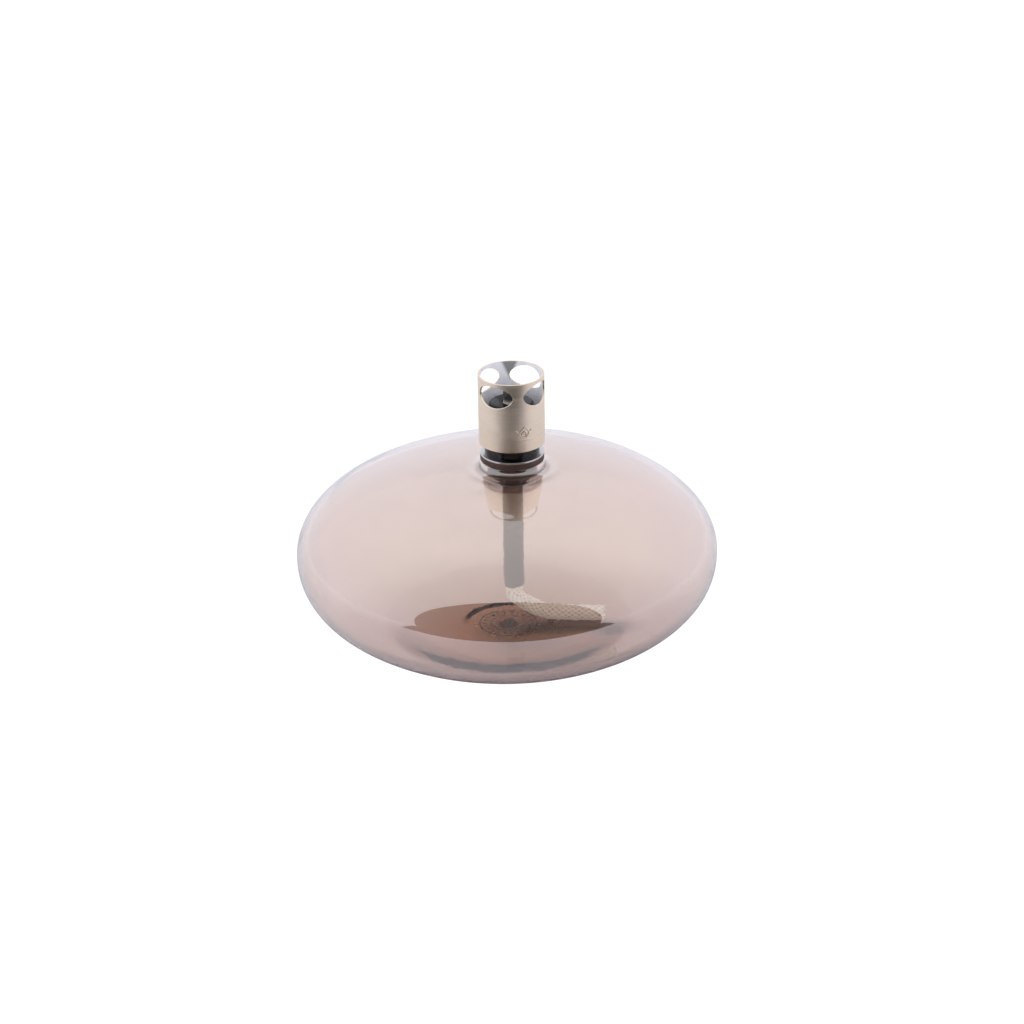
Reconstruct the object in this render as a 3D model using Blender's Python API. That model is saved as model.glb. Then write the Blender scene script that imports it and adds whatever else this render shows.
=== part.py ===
"""Glass oil lamp: a squat blown reservoir with a lift-out steel burner, a braided wick and a vented cap.

Everything stands on the Z axis, with the lamp's base on z = 0. Sizes are in metres.
Pieces that only touch each other keep the clearance GAP, so that each one stays its own solid.
"""

import math

import bmesh
import bpy
from mathutils import Vector

MM = 0.001
GAP = 0.3 * MM

# Glass reservoir
GLASS_RADIUS = 92.5 * MM
EQUATOR_HEIGHT = 40.3 * MM
CROWN_RISE = 41.0 * MM
CROWN_POWER = 2.03
BELLY_DROP = 43.2 * MM
BELLY_POWER = 2.21
GLASS_WALL = 2.4 * MM
FLOOR_THICKNESS = 4.0 * MM
NECK_BORE_RADIUS = 10.9 * MM
NECK_WALL = 2.7 * MM
COLLAR_WIDTH = 5.8 * MM
COLLAR_HEIGHT = 2.9 * MM
RIM_ROUND = 0.6 * MM

# Round label in the recess under the base
LABEL_RADIUS = 15.0 * MM
LABEL_THICKNESS = 0.3 * MM
LABEL_MARGIN = 1.5 * MM

# Burner stack, from the neck's rim upwards
GASKET_THICKNESS = 2.2 * MM
GASKET_OVERHANG = 0.3 * MM
FLANGE_THICKNESS = 0.8 * MM
FLANGE_BEVEL = 0.25 * MM
BOSS_TO_CAP_BORE = 1.65 * MM
BOSS_HEIGHT = 10.2 * MM

# Plug, seal and clamp below the flange
PLUG_LENGTH = 9.0 * MM
SEAL_SECTION_RADIUS = 0.9 * MM
SEAL_DEPTH = 4.6 * MM
WASHER_RADIUS = 7.6 * MM
WASHER_THICKNESS = 0.8 * MM
NUT_ACROSS_FLATS = 13.0 * MM
NUT_HEIGHT = 4.0 * MM

# Wick, tube and nozzle
WICK_RADIUS = 3.7 * MM
WICK_CLEARANCE = 0.4 * MM
TUBE_WALL = 0.4 * MM
TUBE_END_HEIGHT = 22.5 * MM
TUBE_RISE_IN_NOZZLE = 6.5 * MM
NOZZLE_STEM_RADIUS = 6.4 * MM
NOZZLE_TO_CAP_BORE = 3.65 * MM
NOZZLE_HEIGHT = 12.6 * MM
NOZZLE_HEAD_HEIGHT = 4.2 * MM
WICK_STAND = 4.6 * MM
WICK_END_ROUND = 0.9 * MM
# The free wick from under the tube to its cut end: (x, y, share of the drop to the glass floor still left)
TAIL_ROUTE = [
    (0.0000, 0.0000, 1.000),
    (0.0001, 0.0000, 0.817),
    (0.0019, 0.0000, 0.563),
    (0.0060, -0.0002, 0.324),
    (0.0115, -0.0006, 0.127),
    (0.0190, -0.0011, 0.028),
    (0.0290, -0.0017, 0.000),
    (0.0395, -0.0023, 0.000),
]
TAIL_STEPS_PER_SPAN = 3

# Vented cap
CAP_RADIUS = 14.35 * MM
CAP_WALL = 0.8 * MM
CAP_HEIGHT = 31.4 * MM
CAP_SKIRT = 5.9 * MM
CAP_BEVEL = 0.35 * MM
VENT_COUNT = 4
VENT_STRIP_WIDTH = 4.6 * MM
VENT_HEIGHT = 10.0 * MM
VENT_TOP_MARGIN = 1.4 * MM
VENT_STRIP_ANGLE = math.radians(11.7)
SEAT_RING_THICKNESS = 1.0 * MM
SPRING_WIRE_RADIUS = 0.5 * MM
SPRING_DROP = 2.6 * MM
SPRING_OPENING = math.radians(28)

# Facets round a full turn
GLASS_STEPS = 56
CAP_STEPS = 72
BURNER_STEPS = 36
WIRE_SIDES = 8
SHARP_ANGLE = math.radians(32)

# Radii that follow from the sizes above
TUBE_BORE_RADIUS = WICK_RADIUS + WICK_CLEARANCE
TUBE_RADIUS = TUBE_BORE_RADIUS + TUBE_WALL
TUBE_HOLE_RADIUS = TUBE_RADIUS + GAP
NECK_RADIUS = NECK_BORE_RADIUS + NECK_WALL
GASKET_RADIUS = NECK_RADIUS + GASKET_OVERHANG
PLUG_RADIUS = NECK_BORE_RADIUS - 2 * GAP
CAP_BORE_RADIUS = CAP_RADIUS - CAP_WALL
BOSS_RADIUS = CAP_BORE_RADIUS - BOSS_TO_CAP_BORE
NOZZLE_HEAD_RADIUS = CAP_BORE_RADIUS - NOZZLE_TO_CAP_BORE
SEAT_RING_HOLE = NOZZLE_HEAD_RADIUS + GAP
VENT_CHORD = 2.0 * CAP_RADIUS * math.sin(math.pi / VENT_COUNT - 0.5 * VENT_STRIP_WIDTH / CAP_RADIUS)


def superellipse(radius, rise, power, low, high, count):
    """Points (r, z) on a quarter of a flattened ball, from height low to height high above its middle."""
    points = []
    for step in range(count + 1):
        height = low + (high - low) * math.sin(0.5 * math.pi * step / count)
        share = 1.0 - (height / rise) ** power
        points.append((radius * share ** (1.0 / power), height))
    return points


def crown_height_at(radius, ball_radius, rise):
    """Height above the middle at which the crown has this radius."""
    return rise * (1.0 - (radius / ball_radius) ** CROWN_POWER) ** (1.0 / CROWN_POWER)


# Heights of the stack on the Z axis
SHOULDER_HEIGHT = EQUATOR_HEIGHT + crown_height_at(
    NECK_RADIUS + COLLAR_WIDTH, GLASS_RADIUS, CROWN_RISE
)
RIM_HEIGHT = SHOULDER_HEIGHT + COLLAR_HEIGHT
GASKET_BASE = RIM_HEIGHT + GAP
FLANGE_BASE = GASKET_BASE + GASKET_THICKNESS + GAP
BOSS_BASE = FLANGE_BASE + FLANGE_THICKNESS + GAP
BOSS_TOP = BOSS_BASE + BOSS_HEIGHT
NOZZLE_BASE = BOSS_TOP + GAP
NOZZLE_TOP = NOZZLE_BASE + NOZZLE_HEIGHT
TUBE_TOP = NOZZLE_BASE + TUBE_RISE_IN_NOZZLE
WICK_TOP = NOZZLE_TOP + WICK_STAND
PLUG_TOP = FLANGE_BASE - GAP
PLUG_BASE = PLUG_TOP - PLUG_LENGTH
SEAL_HEIGHT = PLUG_TOP - SEAL_DEPTH
WASHER_BASE = PLUG_BASE - GAP - WASHER_THICKNESS
NUT_BASE = WASHER_BASE - GAP - NUT_HEIGHT
SEAT_RING_BASE = BOSS_TOP + GAP
CAP_BASE = SEAT_RING_BASE - CAP_SKIRT
VENT_MIDDLE = CAP_BASE + CAP_HEIGHT - VENT_TOP_MARGIN - 0.5 * VENT_HEIGHT
SPRING_HEIGHT = BOSS_TOP - SPRING_DROP
SPRING_RING_RADIUS = CAP_BORE_RADIUS - GAP - SPRING_WIRE_RADIUS
SPRING_GROOVE_FLOOR = SPRING_RING_RADIUS - SPRING_WIRE_RADIUS - GAP
TAIL_TOP = TUBE_END_HEIGHT - GAP
TAIL_LIE_HEIGHT = FLOOR_THICKNESS + GAP + WICK_RADIUS
LABEL_BASE = GAP
LABEL_RECESS_DEPTH = LABEL_BASE + LABEL_THICKNESS + GAP


def clear_scene():
    for obj in list(bpy.data.objects):
        bpy.data.objects.remove(obj, do_unlink=True)


def make_material(name, colour, roughness, metallic, transmission=0.0):
    material = bpy.data.materials.new(name)
    material.use_nodes = True
    shader = material.node_tree.nodes["Principled BSDF"]
    shader.inputs["Base Color"].default_value = (*colour, 1.0)
    shader.inputs["Roughness"].default_value = roughness
    shader.inputs["Metallic"].default_value = metallic
    shader.inputs["Transmission Weight"].default_value = transmission
    return material


def make_body(name, height):
    """An empty on the Z axis that carries the pieces which move together."""
    body = bpy.data.objects.new(name, None)
    body.location = (0.0, 0.0, height)
    body.empty_display_size = 0.01
    bpy.context.scene.collection.objects.link(body)
    return body


def add_piece(name, data, material, body, height):
    """Links a piece to the scene with its origin on the Z axis at this height."""
    data.materials.append(material)
    piece = bpy.data.objects.new(name, data)
    bpy.context.scene.collection.objects.link(piece)
    piece.parent = body
    piece.location = (0.0, 0.0, height - body.location.z)
    return piece


def finish_mesh(shape, name):
    """Closes a bmesh into a mesh with its faces out, smooth but for its real edges."""
    bmesh.ops.remove_doubles(shape, verts=shape.verts, dist=0.001 * MM)
    bmesh.ops.recalc_face_normals(shape, faces=shape.faces)
    mesh = bpy.data.meshes.new(name)
    shape.to_mesh(mesh)
    shape.free()
    mesh.shade_smooth()
    mesh.set_sharp_from_angle(angle=SHARP_ANGLE)
    return mesh


def turned_mesh(name, outline, steps, on_axis=False):
    """Spins an outline of (radius, height) points round Z. An outline on the axis stays open there."""
    shape = bmesh.new()
    corners = [shape.verts.new((radius, 0.0, height)) for radius, height in outline]
    sides = [shape.edges.new(pair) for pair in zip(corners, corners[1:])]
    if not on_axis:
        sides.append(shape.edges.new((corners[-1], corners[0])))
    bmesh.ops.spin(
        shape,
        geom=corners + sides,
        cent=(0.0, 0.0, 0.0),
        axis=(0.0, 0.0, 1.0),
        angle=2.0 * math.pi,
        steps=steps,
        use_merge=True,
    )
    return finish_mesh(shape, name)


def ring_outline(inner, outer, bottom, top, bevel=0.0):
    """A flat ring's section, with its outer corners bevelled."""
    if bevel == 0.0:
        return [(inner, top), (outer, top), (outer, bottom), (inner, bottom)]
    return [
        (inner, top),
        (outer - bevel, top),
        (outer, top - bevel),
        (outer, bottom + bevel),
        (outer - bevel, bottom),
        (inner, bottom),
    ]


def arc_points(centre, radii, start, end, count):
    """Points on an elliptical arc between two angles, both ends included."""
    points = []
    for step in range(count + 1):
        angle = start + (end - start) * step / count
        points.append((centre[0] + radii[0] * math.cos(angle), centre[1] + radii[1] * math.sin(angle)))
    return points


def glass_outline():
    """The reservoir's section: outside from the rim down to the base, then inside back up to the rim."""
    quarter = 0.5 * math.pi
    collar_radius = NECK_RADIUS + COLLAR_WIDTH
    neck_side = (NECK_RADIUS, RIM_HEIGHT - RIM_ROUND)
    rim = arc_points(
        (NECK_RADIUS - RIM_ROUND, RIM_HEIGHT - RIM_ROUND), (RIM_ROUND, RIM_ROUND), quarter, 0.0, 2
    )
    collar = arc_points(
        (collar_radius, neck_side[1]),
        (COLLAR_WIDTH, neck_side[1] - SHOULDER_HEIGHT),
        2 * quarter,
        3 * quarter,
        4,
    )
    crown = superellipse(
        GLASS_RADIUS, CROWN_RISE, CROWN_POWER, 0.0, SHOULDER_HEIGHT - EQUATOR_HEIGHT, 9
    )
    belly = superellipse(GLASS_RADIUS, BELLY_DROP, BELLY_POWER, 0.0, EQUATOR_HEIGHT, 8)
    outside = rim + collar[1:]
    outside += [(radius, EQUATOR_HEIGHT + height) for radius, height in reversed(crown[:-1])]
    outside += [(radius, EQUATOR_HEIGHT - height) for radius, height in belly[1:]]
    recess_radius = LABEL_RADIUS + LABEL_MARGIN
    outside += [(recess_radius + LABEL_RECESS_DEPTH, 0.0), (recess_radius, LABEL_RECESS_DEPTH)]
    outside += [(0.0, LABEL_RECESS_DEPTH), (0.0, FLOOR_THICKNESS)]

    inner_radius = GLASS_RADIUS - GLASS_WALL
    inner_rise = CROWN_RISE - GLASS_WALL
    throat_radius = NECK_BORE_RADIUS + COLLAR_HEIGHT
    throat_height = EQUATOR_HEIGHT + crown_height_at(throat_radius, inner_radius, inner_rise)
    inner_belly = superellipse(
        inner_radius,
        BELLY_DROP - GLASS_WALL,
        BELLY_POWER,
        0.0,
        EQUATOR_HEIGHT - FLOOR_THICKNESS,
        7,
    )
    inner_crown = superellipse(
        inner_radius, inner_rise, CROWN_POWER, 0.0, throat_height - EQUATOR_HEIGHT, 8
    )
    inside = [(radius, EQUATOR_HEIGHT - height) for radius, height in reversed(inner_belly)]
    inside += [(radius, EQUATOR_HEIGHT + height) for radius, height in inner_crown[1:-1]]
    inside += arc_points(
        (throat_radius, throat_height + COLLAR_HEIGHT),
        (COLLAR_HEIGHT, COLLAR_HEIGHT),
        3 * quarter,
        2 * quarter,
        2,
    )
    inside += arc_points(
        (NECK_BORE_RADIUS + RIM_ROUND, RIM_HEIGHT - RIM_ROUND),
        (RIM_ROUND, RIM_ROUND),
        2 * quarter,
        quarter,
        2,
    )
    return outside + inside


def glass_mesh():
    """The reservoir. Its outline touches the axis along the base, where the spin closes it."""
    outline = glass_outline()
    axis_index = max(index for index, point in enumerate(outline) if point[0] == 0.0)
    ordered = outline[axis_index:] + outline[:axis_index]
    return turned_mesh("glass_vessel", ordered, GLASS_STEPS, on_axis=True)


def seal_outline():
    return arc_points(
        (PLUG_RADIUS + GAP - SEAL_SECTION_RADIUS, 0.0),
        (SEAL_SECTION_RADIUS, SEAL_SECTION_RADIUS),
        0.0,
        -2.0 * math.pi * 7 / 8,
        7,
    )


def plug_outline():
    """The sleeve in the neck, with a groove for its seal, from its base at height 0."""
    groove_floor = PLUG_RADIUS + GAP - 2 * SEAL_SECTION_RADIUS - GAP
    groove_middle = PLUG_LENGTH - SEAL_DEPTH
    groove_half = SEAL_SECTION_RADIUS + GAP
    chamfer = 2 * GAP
    return [
        (TUBE_HOLE_RADIUS, PLUG_LENGTH),
        (PLUG_RADIUS, PLUG_LENGTH),
        (PLUG_RADIUS, groove_middle + groove_half),
        (groove_floor, groove_middle + groove_half),
        (groove_floor, groove_middle - groove_half),
        (PLUG_RADIUS, groove_middle - groove_half),
        (PLUG_RADIUS, chamfer),
        (PLUG_RADIUS - chamfer, 0.0),
        (TUBE_HOLE_RADIUS, 0.0),
    ]


def boss_outline():
    """The black seat that the cap fits over, with a groove for the grip spring, from its base at height 0."""
    groove_middle = BOSS_HEIGHT - SPRING_DROP
    groove_half = SPRING_WIRE_RADIUS + GAP
    chamfer = 2 * GAP
    return [
        (TUBE_HOLE_RADIUS, BOSS_HEIGHT),
        (BOSS_RADIUS - chamfer, BOSS_HEIGHT),
        (BOSS_RADIUS, BOSS_HEIGHT - chamfer),
        (BOSS_RADIUS, groove_middle + groove_half),
        (SPRING_GROOVE_FLOOR, groove_middle + groove_half),
        (SPRING_GROOVE_FLOOR, groove_middle - groove_half),
        (BOSS_RADIUS, groove_middle - groove_half),
        (BOSS_RADIUS, 0.0),
        (TUBE_HOLE_RADIUS, 0.0),
    ]


def nozzle_outline():
    """A stem that widens to a shallow domed head round the wick, from its base at height 0."""
    head_base = NOZZLE_HEIGHT - NOZZLE_HEAD_HEIGHT
    flare = NOZZLE_HEAD_RADIUS - NOZZLE_STEM_RADIUS
    edge = 0.5 * NOZZLE_HEAD_HEIGHT
    dome = arc_points(
        (NOZZLE_HEAD_RADIUS - edge, NOZZLE_HEIGHT - edge), (edge, edge), 0.5 * math.pi, 0.0, 4
    )
    tube_pocket = TUBE_RISE_IN_NOZZLE + GAP
    outline = [(TUBE_BORE_RADIUS, NOZZLE_HEIGHT)]
    outline += dome
    outline += [
        (NOZZLE_HEAD_RADIUS, head_base),
        (NOZZLE_STEM_RADIUS, head_base - flare),
        (NOZZLE_STEM_RADIUS, 0.0),
        (TUBE_HOLE_RADIUS, 0.0),
        (TUBE_HOLE_RADIUS, tube_pocket),
        (TUBE_BORE_RADIUS, tube_pocket),
    ]
    return outline


def wick_outline():
    """The braid in the tube, with its lit end slightly rounded, from the tube's end at height 0."""
    length = WICK_TOP - TUBE_END_HEIGHT
    return [
        (0.0, length),
        (WICK_RADIUS - WICK_END_ROUND, length),
        (WICK_RADIUS, length - WICK_END_ROUND),
        (WICK_RADIUS, 0.0),
        (0.0, 0.0),
    ]


def nut_mesh():
    """A hexagonal nut with the tube's hole, from its base at height 0."""
    shape = bmesh.new()
    circumradius = 0.5 * NUT_ACROSS_FLATS / math.cos(math.pi / 6)
    outer = []
    inner = []
    steps = 24
    for step in range(steps):
        angle = 2.0 * math.pi * step / steps
        from_flat = (angle % (math.pi / 3)) - math.pi / 6
        reach = circumradius * math.cos(math.pi / 6) / math.cos(from_flat)
        for ring, radius in ((outer, reach), (inner, TUBE_HOLE_RADIUS)):
            low = shape.verts.new((radius * math.cos(angle), radius * math.sin(angle), 0.0))
            high = shape.verts.new((radius * math.cos(angle), radius * math.sin(angle), NUT_HEIGHT))
            ring.append((low, high))
    for step in range(steps):
        after = (step + 1) % steps
        for ring in (outer, inner):
            shape.faces.new((ring[step][0], ring[after][0], ring[after][1], ring[step][1]))
        for level in (0, 1):
            shape.faces.new(
                (outer[step][level], outer[after][level], inner[after][level], inner[step][level])
            )
    return finish_mesh(shape, "lock_nut")


def spring_mesh():
    """An open wire ring, swept round the boss as a row of wire sections with flat ends."""
    shape = bmesh.new()
    sections = 36
    sweep = 2.0 * math.pi - SPRING_OPENING
    rings = []
    for section in range(sections + 1):
        turn = 0.5 * SPRING_OPENING + sweep * section / sections
        ring = []
        for side in range(WIRE_SIDES):
            angle = 2.0 * math.pi * side / WIRE_SIDES
            radius = SPRING_RING_RADIUS + SPRING_WIRE_RADIUS * math.cos(angle)
            height = SPRING_WIRE_RADIUS * math.sin(angle)
            ring.append(shape.verts.new((radius * math.cos(turn), radius * math.sin(turn), height)))
        rings.append(ring)
    for ring, following in zip(rings, rings[1:]):
        for side in range(WIRE_SIDES):
            after = (side + 1) % WIRE_SIDES
            shape.faces.new((ring[side], ring[after], following[after], following[side]))
    shape.faces.new(rings[0])
    shape.faces.new(rings[-1])
    return finish_mesh(shape, "grip_spring")


def cap_outline():
    """The cap's thin wall, bevelled at its lower edge, from its base at height 0."""
    return [
        (CAP_BORE_RADIUS, CAP_HEIGHT),
        (CAP_RADIUS, CAP_HEIGHT),
        (CAP_RADIUS, CAP_BEVEL),
        (CAP_RADIUS - CAP_BEVEL, 0.0),
        (CAP_BORE_RADIUS, 0.0),
    ]


def vent_cutter_mesh():
    """Oval prisms through the cap's wall, one for each vent, half a pitch away from the strips."""
    shape = bmesh.new()
    sides = 28
    reach = (0.5 * CAP_RADIUS, 1.5 * CAP_RADIUS)
    pitch = 2.0 * math.pi / VENT_COUNT
    for vent in range(VENT_COUNT):
        turn = -0.5 * math.pi + VENT_STRIP_ANGLE + (vent + 0.5) * pitch
        out = Vector((math.cos(turn), math.sin(turn), 0.0))
        along = Vector((-math.sin(turn), math.cos(turn), 0.0))
        rings = []
        for distance in reach:
            ring = []
            for side in range(sides):
                angle = 2.0 * math.pi * side / sides
                offset = along * (0.5 * VENT_CHORD * math.cos(angle))
                lift = Vector((0.0, 0.0, 0.5 * VENT_HEIGHT * math.sin(angle)))
                ring.append(shape.verts.new(out * distance + offset + lift))
            rings.append(ring)
        for side in range(sides):
            after = (side + 1) % sides
            shape.faces.new((rings[0][side], rings[0][after], rings[1][after], rings[1][side]))
        for ring in rings:
            shape.faces.new(ring)
    return finish_mesh(shape, "vent_cutter")


def add_vented_cap(material, body):
    cap = add_piece(
        "vent_cap", turned_mesh("vent_cap", cap_outline(), CAP_STEPS), material, body, CAP_BASE
    )
    cutter = add_piece("vent_cutter", vent_cutter_mesh(), material, body, VENT_MIDDLE)
    cutter.hide_render = True
    cutter.display_type = "WIRE"
    cut = cap.modifiers.new("Vents", "BOOLEAN")
    cut.operation = "DIFFERENCE"
    cut.solver = "EXACT"
    cut.object = cutter


def smooth_route(points, steps_per_span):
    """Points on a smooth curve through the route's own points (a Catmull-Rom spline)."""
    before = points[0] + (points[0] - points[1])
    beyond = points[-1] + (points[-1] - points[-2])
    padded = [before] + points + [beyond]
    smooth = []
    for span in range(len(points) - 1):
        a, b, c, d = padded[span : span + 4]
        for step in range(steps_per_span):
            t = step / steps_per_span
            smooth.append(
                0.5
                * (
                    2 * b
                    + (c - a) * t
                    + (2 * a - 5 * b + 4 * c - d) * t**2
                    + (3 * b - a - 3 * c + d) * t**3
                )
            )
    smooth.append(points[-1].copy())
    smooth[1].x = smooth[0].x
    smooth[1].y = smooth[0].y
    return smooth


def tail_curve():
    """The free wick as a tube along its route, with heights counted from its lie on the glass floor."""
    curve = bpy.data.curves.new("wick_tail", "CURVE")
    curve.dimensions = "3D"
    curve.bevel_depth = WICK_RADIUS
    curve.bevel_resolution = 4
    curve.use_fill_caps = True
    drop = TAIL_TOP - TAIL_LIE_HEIGHT
    stations = [Vector((x, y, share * drop)) for x, y, share in TAIL_ROUTE]
    route = smooth_route(stations, TAIL_STEPS_PER_SPAN)
    spline = curve.splines.new("POLY")
    spline.points.add(len(route) - 1)
    for point, place in zip(spline.points, route):
        point.co = (place.x, place.y, place.z, 1.0)
    return curve


def build_vessel():
    body = make_body("vessel", 0.0)
    glass = make_material("smoked rose glass", (0.78, 0.66, 0.62), 0.03, 0.0, transmission=1.0)
    label = make_material("base label", (0.20, 0.17, 0.16), 0.5, 0.0)
    add_piece("glass_vessel", glass_mesh(), glass, body, 0.0)
    disc = [
        (0.0, LABEL_THICKNESS),
        (LABEL_RADIUS, LABEL_THICKNESS),
        (LABEL_RADIUS, 0.0),
        (0.0, 0.0),
    ]
    label_disc = turned_mesh("base_label", disc, BURNER_STEPS, on_axis=True)
    add_piece("base_label", label_disc, label, body, LABEL_BASE)


def build_burner():
    body = make_body("burner", RIM_HEIGHT)
    steel = make_material("brushed steel", (0.66, 0.62, 0.58), 0.3, 1.0)
    black = make_material("blackened steel", (0.02, 0.02, 0.022), 0.4, 1.0)
    rubber = make_material("brown silicone", (0.045, 0.028, 0.024), 0.55, 0.0)
    turned_pieces = (
        (
            "flange_gasket",
            ring_outline(PLUG_RADIUS + GAP, GASKET_RADIUS, 0.0, GASKET_THICKNESS),
            rubber,
            GASKET_BASE,
        ),
        (
            "burner_flange",
            ring_outline(TUBE_HOLE_RADIUS, GASKET_RADIUS, 0.0, FLANGE_THICKNESS, FLANGE_BEVEL),
            steel,
            FLANGE_BASE,
        ),
        ("seat_boss", boss_outline(), black, BOSS_BASE),
        ("neck_plug", plug_outline(), steel, PLUG_BASE),
        ("neck_seal", seal_outline(), rubber, SEAL_HEIGHT),
        (
            "lock_washer",
            ring_outline(TUBE_HOLE_RADIUS, WASHER_RADIUS, 0.0, WASHER_THICKNESS),
            steel,
            WASHER_BASE,
        ),
        (
            "wick_tube",
            ring_outline(TUBE_BORE_RADIUS, TUBE_RADIUS, 0.0, TUBE_TOP - TUBE_END_HEIGHT),
            steel,
            TUBE_END_HEIGHT,
        ),
        ("wick_nozzle", nozzle_outline(), black, NOZZLE_BASE),
    )
    for name, outline, material, height in turned_pieces:
        add_piece(name, turned_mesh(name, outline, BURNER_STEPS), material, body, height)
    add_piece("lock_nut", nut_mesh(), steel, body, NUT_BASE)


def build_wick():
    cotton = make_material("braided wick", (0.80, 0.76, 0.70), 0.9, 0.0)
    wick_body = make_body("wick", TUBE_END_HEIGHT)
    tail_body = make_body("free_wick", TAIL_LIE_HEIGHT)
    stem = turned_mesh("wick_stem", wick_outline(), BURNER_STEPS, on_axis=True)
    add_piece("wick_stem", stem, cotton, wick_body, TUBE_END_HEIGHT)
    add_piece("wick_tail", tail_curve(), cotton, tail_body, TAIL_LIE_HEIGHT)


def build_cap():
    steel = make_material("cap steel", (0.72, 0.66, 0.58), 0.28, 1.0)
    spring_steel = make_material("spring wire", (0.55, 0.55, 0.56), 0.25, 1.0)
    spring_body = make_body("cap_spring", SPRING_HEIGHT)
    cap_body = make_body("cap", CAP_BASE)
    add_piece("grip_spring", spring_mesh(), spring_steel, spring_body, SPRING_HEIGHT)
    ring = ring_outline(SEAT_RING_HOLE, CAP_BORE_RADIUS - GAP, 0.0, SEAT_RING_THICKNESS)
    add_piece("seat_ring", turned_mesh("seat_ring", ring, BURNER_STEPS), steel, cap_body, SEAT_RING_BASE)
    add_vented_cap(steel, cap_body)


clear_scene()
build_vessel()
build_burner()
build_wick()
build_cap()
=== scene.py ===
"""Looks for a glass oil lamp: smoky lustre reservoir, steel burner, braided wick and vented cap.

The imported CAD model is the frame. Each operator builds one group of pieces round the lamp's Z axis, in
metres, and one builds the pale studio floor, the light and the camera.
"""

import math
import random

import bmesh
import bpy
from bpy.props import FloatProperty, FloatVectorProperty, PointerProperty
from mathutils import Matrix, Vector


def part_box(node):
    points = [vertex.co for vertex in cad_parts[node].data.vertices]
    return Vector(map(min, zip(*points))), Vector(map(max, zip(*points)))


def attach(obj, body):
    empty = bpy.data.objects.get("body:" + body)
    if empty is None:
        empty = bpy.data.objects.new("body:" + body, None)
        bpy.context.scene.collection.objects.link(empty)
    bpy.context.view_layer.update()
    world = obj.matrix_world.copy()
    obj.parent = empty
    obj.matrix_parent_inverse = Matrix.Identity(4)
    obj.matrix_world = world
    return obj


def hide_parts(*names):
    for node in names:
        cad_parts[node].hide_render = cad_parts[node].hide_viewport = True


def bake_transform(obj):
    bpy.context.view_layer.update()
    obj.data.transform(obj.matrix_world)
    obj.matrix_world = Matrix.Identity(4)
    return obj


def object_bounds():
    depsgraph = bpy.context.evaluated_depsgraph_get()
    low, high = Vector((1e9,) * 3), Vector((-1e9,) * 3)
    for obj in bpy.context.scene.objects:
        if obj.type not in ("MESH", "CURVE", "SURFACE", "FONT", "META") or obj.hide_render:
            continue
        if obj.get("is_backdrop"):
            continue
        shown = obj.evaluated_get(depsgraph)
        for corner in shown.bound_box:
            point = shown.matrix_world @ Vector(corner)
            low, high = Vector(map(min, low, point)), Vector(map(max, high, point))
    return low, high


bl_info = {
    "name": "Glass Oil Lamp",
    "version": (1, 0, 0),
    "blender": (4, 5, 0),
    "location": "View3D > Sidebar > Oil Lamp",
    "description": "Builds the finished surfaces of a glass oil lamp round its CAD frame",
    "category": "Object",
}

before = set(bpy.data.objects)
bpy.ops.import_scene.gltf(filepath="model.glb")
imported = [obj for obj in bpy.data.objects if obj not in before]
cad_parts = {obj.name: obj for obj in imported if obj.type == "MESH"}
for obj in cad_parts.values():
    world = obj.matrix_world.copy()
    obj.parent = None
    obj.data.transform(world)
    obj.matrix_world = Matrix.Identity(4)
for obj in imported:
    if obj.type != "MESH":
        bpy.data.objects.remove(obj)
CAD_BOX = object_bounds()

MM = 0.001
TURN = 2.0 * math.pi
QUARTER = 0.5 * math.pi
# Pieces that touch on the real lamp keep this hair's breadth between their surfaces
HAIR = 0.03 * MM


class Span:
    """A CAD node's reach from the Z axis and its lowest and highest point."""

    def __init__(self, node):
        low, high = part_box(node)
        self.radius = high.x
        self.bottom = low.z
        self.top = high.z


GLASS = Span("glass_vessel")
LABEL = Span("base_label")
GASKET = Span("flange_gasket")
FLANGE = Span("burner_flange")
BOSS = Span("seat_boss")
PLUG = Span("neck_plug")
SEAL = Span("neck_seal")
WASHER = Span("lock_washer")
NUT = Span("lock_nut")
TUBE = Span("wick_tube")
NOZZLE = Span("wick_nozzle")
WICK = Span("wick_stem")
SPRING = Span("grip_spring")
CAP = Span("vent_cap")
SEAT = Span("seat_ring")

# Sizes that the boxes don't give, as in the CAD model
EQUATOR_HEIGHT = 40.3 * MM
CROWN_RISE = 41.0 * MM
CROWN_POWER = 2.03
BELLY_DROP = 43.2 * MM
BELLY_POWER = 2.21
# Thinner than in the CAD model
GLASS_WALL = 1.4 * MM
FLOOR_THICKNESS = 4.0 * MM
NECK_BORE_RADIUS = 10.9 * MM
NECK_RADIUS = 13.6 * MM
COLLAR_WIDTH = 5.8 * MM
COLLAR_HEIGHT = 2.9 * MM
RIM_ROUND = 0.6 * MM
# Height over which the belly's curve eases into the flat base, and into the flat floor inside
BASE_EASE = 1.9 * MM
LABEL_RECESS_RADIUS = 16.5 * MM
LABEL_RECESS_SLOPE = 5.0 * MM
LABEL_RECESS_DEPTH = 0.9 * MM
TUBE_BORE_RADIUS = 4.1 * MM
TUBE_HOLE_RADIUS = TUBE.radius + HAIR
SEAL_SECTION_RADIUS = 0.9 * MM
SEAL_DEPTH = 4.6 * MM
NUT_ACROSS_FLATS = 13.0 * MM
NOZZLE_STEM_RADIUS = 6.4 * MM
NOZZLE_HEAD_HEIGHT = 4.2 * MM
TUBE_RISE_IN_NOZZLE = 6.5 * MM
SPRING_WIRE_RADIUS = 0.5 * MM
SPRING_OPENING = math.radians(28)
CAP_WALL = 0.8 * MM
VENT_COUNT = 4
VENT_STRIP_WIDTH = 4.6 * MM
VENT_HEIGHT = 10.0 * MM
VENT_TOP_MARGIN = 1.4 * MM
VENT_STRIP_ANGLE = math.radians(11.7)
SEAT_RING_HOLE = NOZZLE.radius + 0.3 * MM
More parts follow.
